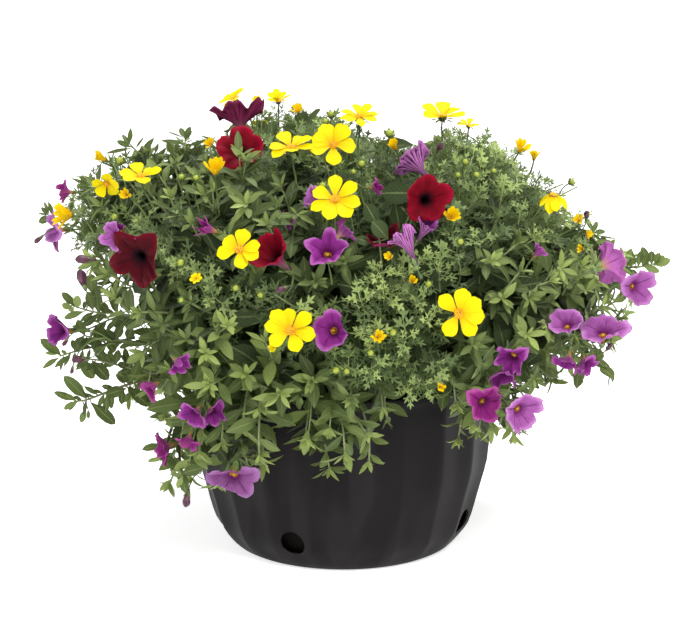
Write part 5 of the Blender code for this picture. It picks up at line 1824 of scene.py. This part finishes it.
    def add_stalk(self, surface, depth, radius=0.0008):
        """Adds a stalk that bends from the foot, at a depth, into the foliage."""
        start = self.place - self.axis * depth
        hit, normal = (np.array(part) for part in surface.tree.find_nearest(Vector(start))[:2])
        end = hit - normal * 0.022 - UP * 0.012
        reach = max(np.linalg.norm(start - end), 0.01) * 0.4
        arrival = end + unit(normal + UP) * reach
        path = bezier([start, start - self.axis * reach, arrival, end], 9)
        tube(self.sheaf, path, np.linspace(radius, radius * 1.3, 9), 6, 0.15, GREEN)


def funnel_surface(style, openness, rng):
    """Returns turn, radius, height, across and along for the five-lobed inside of a bloom."""
    turn = ring_turns(5 * LOBE_SIDES)
    place = turn * 5 / FULL_TURN
    number = np.round(place).astype(int) % 5
    across = (place - np.round(place)) * 2
    inward = 1 - np.abs(across) ** 3
    reach, tilt, curl, wave = (rng.uniform(-1, 1, 5)[number] for _ in range(4))
    t = np.linspace(0, 1, LIMB_ROWS)[:, None]
    edge = (1 - style["notch"] * np.abs(across) ** style["sharp"]) * (1 + 0.12 * reach * inward)
    edge = edge + style["point"] * np.exp(-((across / 0.16) ** 2))
    start, depth, start_share = LIMB_START
    spread = (1 - start) * t * (1 + (edge - 1) * t**1.4)
    lift = CUP_ANGLE * (1 - openness) + style["tilt"] * tilt * inward * t
    radius = start + spread * np.cos(lift)
    height = depth * (1 - t) ** 1.7 + spread * np.sin(lift)
    crease = np.exp(-((across / 0.22) ** 2))
    height = height - style["fold"] * smooth(t, 0.05, 0.60) * crease
    height = height - 0.16 * t**2 * np.abs(across) ** 5
    height = height - (0.09 + 0.11 * curl) * smooth(t, 0.60, 1.0) * (1 - 0.5 * crease)
    height = height + 0.034 * t**2 * np.sin(across * 3 * math.pi + 3 * wave)
    wide, low, along = np.array(TUBE).T[:, :, None] * np.ones_like(turn)
    limb = (start_share + (1 - start_share) * t) * np.ones_like(turn)
    low = low * style["deep"]
    return turn, np.vstack([wide, radius]), np.vstack([low, height]), across, np.vstack([along, limb])


def head_centre(node, axis, radius, top):
    """Returns the centre of a CAD flower's head, found from its points along its axis."""
    places = node_places(node)
    reach = places @ axis
    head = places[reach > reach.max() - 0.16 * radius]
    if len(head) < 5:
        head = places[reach > reach.max() - 0.30 * radius]
    middle = (head.min(axis=0) + head.max(axis=0)) / 2
    return middle + axis * (reach.max() - top * radius - np.dot(middle, axis))


def seen_flower(
    surface, kind, right, high, turn, tilt, width, look, spin, openness, clear=USUAL_STAND_OFF, room=1
):
    """Returns a flower on a line of sight."""
    place = surface.on_sight(right, high, clear / 1000)
    return Flower(kind, None, place, toward(turn, tilt), width / 2000, look, spin, openness, room)


def all_flowers(surface):
    """Returns every flower, first those that have CAD nodes."""
    flowers = []
    for kind, rows in CAD_FLOWERS.items():
        for number, (*cad, turn, tilt, width, look, spin, openness) in enumerate(rows, 1):
            node = f"{kind}_flower_{number:02d}"
            top = HEAD_TOPS.get(kind, OTHER_HEAD_TOP)
            place = head_centre(node, toward(*cad[:2]), cad[2] / 2000, top)
            place = place + np.array(NUDGES.get(node, (0.0, 0.0, 0.0)))
            axis = toward(turn, tilt)
            flowers.append(Flower(kind, node, place, axis, width / 2000, look, spin, openness, 1))
    for kind, rows in MORE_FLOWERS.items():
        flowers += [seen_flower(surface, kind, *row) for row in rows]
    return flowers


def clear_space(flowers):
    """Returns the room in front of each flower that leaves keep out of."""
    places = np.array([flower.place for flower in flowers])
    front = places[:, 1] < FRONT_FLOWERS
    views = unit(eye_of("front") - places)
    views[~front] = unit(eye_of("back") - places[~front])
    radii = np.array([flower.radius for flower in flowers]) * ROOM_SHARE
    return {
        "place": places,
        "axis": np.array([flower.axis for flower in flowers]),
        "view": views,
        "radius": radii * np.array([flower.room for flower in flowers]),
        "from": ROOM_FROM,
        "axis_reach": ROOM_AHEAD,
        "view_reach": ROOM_IN_VIEW,
    }


def make_flowers(flowers, surface, leaf):
    """Makes each flower with a CAD node as its own piece, and gathers the others by kind."""
    more = {}
    for number, flower in enumerate(flowers):
        kind, node = flower.kind, flower.node
        rng = np.random.default_rng(SEEDS["flowers"] + number)
        sheaf = Sheaf() if node else more.setdefault(kind, Sheaf())
        head = Head(sheaf, flower.place, flower.axis, math.radians(flower.spin), rng, leaf)
        if kind == "bidens":
            foot = head.add_bidens(flower.radius, flower.look, flower.openness, PETAL_TURNS.get(node))
        else:
            foot = head.add_funnel(kind, flower.radius, flower.look, flower.openness)
        head.add_stalk(surface, foot)
        if node:
            piece = sheaf.piece(node.replace("flower", "bloom"), FLOWER_INKS[kind])
            finish_piece(piece, kind + "_petal", [node])
    for kind, sheaf in more.items():
        finish_piece(sheaf.piece(kind + "_more_blooms", FLOWER_INKS[kind]), kind + "_petal")


def make_buds(surface, leaf):
    """Makes the buds, gathered by kind."""
    number = SEEDS["buds"]
    sheaves = {}
    for kind, rows in BUDS.items():
        sheaf = sheaves[kind] = Sheaf()
        for right, high, turn, tilt, length in rows:
            place = surface.on_sight(right, high, USUAL_STAND_OFF / 1000)
            head = Head(sheaf, place, toward(turn, tilt), 0.0, np.random.default_rng(number), leaf)
            add = head.add_bidens_bud if kind == "bidens" else head.add_calibrachoa_bud
            head.add_stalk(surface, add(length / 1000), 0.0006)
            number += 1
    for kind, sheaf in sheaves.items():
        finish_piece(sheaf.piece(kind + "_buds", [kind + "_bud", *FUNNEL_PARTS]), kind + "_petal")


# ---------------------------------------------------------------- pot and mix

POT_PROFILE = [  # height as a share of the pot's height, outer radius as a share of the rim's
    (0.0, 0.690), (0.004, 0.704), (0.014, 0.726), (0.035, 0.754), (0.060, 0.780), (0.095, 0.812),
    (0.130, 0.838), (0.180, 0.860), (0.240, 0.880), (0.300, 0.898), (0.370, 0.922),
    (0.440, 0.945), (0.500, 0.962), (0.600, 0.973), (0.750, 0.984), (0.900, 0.989),
    (0.940, 0.991), (0.952, 0.996), (0.960, 1.0), (0.990, 1.0), (0.998, 0.998),
]
INNER_HEIGHTS = [0.990, 0.940, 0.750, 0.500, 0.370, 0.240, 0.130, 0.050]
FLUTES = 20
FLUTE_DEPTH = 0.0030
FLUTE_START = 0.004  # the flutes fade in from here
FLUTE_RISE = 0.012
FIRST_RIDGE = math.radians(4.5)
POT_SEGMENTS = 320
WALL = 0.0018
BASE_THICKNESS = 0.0022
DRAIN_RADIUS = 0.0125
DRAIN_HEIGHT = 0.031
DRAIN_SEGMENTS = 40
DRAIN_BEARINGS = [-22.5, 67.5, 157.5, 247.5]
SHARP_ANGLE = math.radians(40)
MIX_ROWS, MIX_SIDES = 34, 120
MIX_SIDE_ROWS = 9
MIX_DIP = 0.0035  # how far its crumbly top lies below the top of the CAD mix
CRUMBS = 420


class Pot:
    """The pot's measures, from its CAD node."""

    def __init__(self):
        low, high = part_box("pot")
        self.height = high.z
        self.rim = (high.x - low.x) / 2

    def radius(self, height):
        """Returns the outer radius at a height, without the flutes."""
        return self.rim * float(np.interp(height / self.height, *zip(*POT_PROFILE)))

    def holds(self, place):
        """True inside the pot or its wall."""
        if not 0.0 < place[2] < self.height + 0.002:
            return False
        return math.hypot(place[0], place[1]) < self.radius(place[2]) + 0.0015

    def over_the_rim(self, points):
        """Lifts the part of a branch that would pass through the wall."""
        distance = np.hypot(points[:, 0], points[:, 1])
        crossing = smooth(distance, self.rim - 0.035, self.rim - 0.012)
        crossing *= 1 - smooth(distance, self.rim + 0.010, self.rim + 0.024)
        lift = np.maximum(self.height + RIM_CLEARANCE - points[:, 2], 0.0) * crossing
        return points + UP * lift[:, None]


def make_pot(pot):
    """Makes the fluted pot with its lip, base and drain holes."""
    profile = [(pot.rim * wide, pot.height * share) for share, wide in POT_PROFILE]
    profile += [(pot.rim - WALL * 0.4, pot.height), (pot.rim - WALL * 0.9, pot.height - 0.0003)]
    inner = [share * pot.height for share in INNER_HEIGHTS]
    profile += [(pot.radius(height) - WALL, height) for height in inner]
    profile.append((pot.radius(BASE_THICKNESS) - 3 * WALL, BASE_THICKNESS))
    radii, heights = np.array(profile).T[:, :, None]
    turn = ring_turns(POT_SEGMENTS)
    bearing = np.arctan2(np.cos(turn), -np.sin(turn))
    wave = np.abs(np.sin(FLUTES / 2 * (bearing - FIRST_RIDGE)))
    share = np.clip((heights - FLUTE_START) / FLUTE_RISE, 0.0, 1.0)
    body = rings(radii - FLUTE_DEPTH * share * wave, heights, turn).reshape(-1, 3)
    sheaf = Sheaf()
    points = [*body, (0, 0, 0.0), (0, 0, BASE_THICKNESS)]
    sheaf.add(points, np.zeros(3), *closed_faces(len(profile), POT_SEGMENTS))
    piece = sheaf.piece("fluted_pot", ["charcoal_plastic"])
    for bearing in DRAIN_BEARINGS:
        cut_drain(piece, pot, bearing)
    piece.data.set_sharp_from_angle(angle=SHARP_ANGLE)
    finish_piece(piece, "pot_plastic", ["pot"])


def cut_drain(piece, pot, bearing):
    """Cuts one round drain hole through the wall."""
    bm = bmesh.new()
    round_ = dict(segments=DRAIN_SEGMENTS, radius1=DRAIN_RADIUS, radius2=DRAIN_RADIUS)
    bmesh.ops.create_cone(bm, cap_ends=True, depth=0.02, **round_)
    outward = Vector(toward(bearing, 0))
    spin = Vector(UP).rotation_difference(outward).to_matrix().to_4x4()
    place = outward * pot.radius(DRAIN_HEIGHT) + Vector(UP) * DRAIN_HEIGHT
    bmesh.ops.transform(bm, matrix=Matrix.Translation(place) @ spin, verts=bm.verts[:])
    cutter = add_object("drain_cutter", mesh_from(bm, "drain_cutter"))
    modifier = piece.modifiers.new("drain", "BOOLEAN")
    modifier.operation = "DIFFERENCE"
    modifier.object = cutter
    graph = bpy.context.evaluated_depsgraph_get()
    cut = bpy.data.meshes.new_from_object(piece.evaluated_get(graph))
    piece.modifiers.clear()
    piece.data = cut
    bpy.data.objects.remove(cutter)


def make_mix(pot):
    """Makes the crumbly surface of the potting mix, and its body down to the base."""
    low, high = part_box("potting_mix")
    radius, top = (high.x - low.x) / 2, high.z
    turn = ring_turns(MIX_SIDES)
    share = np.linspace(0, 1, MIX_ROWS + 1)[1:, None]
    surface = rings(radius * share, top - MIX_DIP - 0.004 * share**6, turn).reshape(-1, 3)
    for place in surface:
        flat = Vector((place[0], place[1], 0.0))
        place[2] += noise.noise(flat * 90) * 0.0022
        place[2] += noise.noise(flat * 260 + Vector((5, 5, 5))) * 0.0014
    depths = np.linspace(top - 0.012, low.z + 0.001, MIX_SIDE_ROWS)[:, None]
    reaches = [[pot.radius(depth) - WALL - FLUTE_DEPTH - 0.006] for depth in depths[:, 0]]
    side = rings(reaches, depths, turn).reshape(-1, 3)
    ends = [(0, 0, top - 0.003), (0, 0, depths[-1, 0])]
    faces = closed_faces(MIX_ROWS + MIX_SIDE_ROWS, MIX_SIDES)
    sheaf = Sheaf()
    sheaf.add(np.concatenate([surface, side, ends]), np.zeros(3), *(group[:, ::-1] for group in faces))
    rng = np.random.default_rng(SEEDS["crumbs"])
    for _ in range(CRUMBS):
        bearing, distance = rng.uniform(0, 360), radius * 0.97 * math.sqrt(rng.random())
        base = toward(bearing, 0) * distance + UP * (top - 0.0015)
        lean = unit(rng.normal(0, 1, 3) * np.array([1, 1, 0.35]))
        reach = lean * rng.uniform(0.002, 0.008) / 2
        radii = np.array([0.3, 1.0, 0.4]) * rng.uniform(0.0006, 0.0018)
        tube(sheaf, np.stack([base - reach, base, base + reach]), radii, 5, 0.0)
    finish_piece(sheaf.piece("potting_mix_crumb", ["peat"]), "potting_mix", ["potting_mix"])


def main():
    """Builds everything round the frame."""
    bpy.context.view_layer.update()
    make_camera()
    make_lights()
    make_floor()
    make_materials()
    pot = Pot()
    make_pot(pot)
    make_mix(pot)
    surface = Surface([plant + "_foliage" for plant in PLANTS] + list(DRAPES))
    flowers = all_flowers(surface)
    foliage = Foliage(surface, pot, clear_space(flowers))
    grow_foliage(foliage)
    fill_inside(foliage)
    grow_sprays(foliage)
    grow_twigs(foliage)
    fill_middle(foliage)
    for row in TOP_SPRIGS:
        grow_sprig(foliage, "fern", row)
    templates = make_templates()
    make_leaf_pieces(foliage, templates)
    make_flowers(flowers, surface, templates["plain"])
    make_buds(surface, templates["plain"])


main()
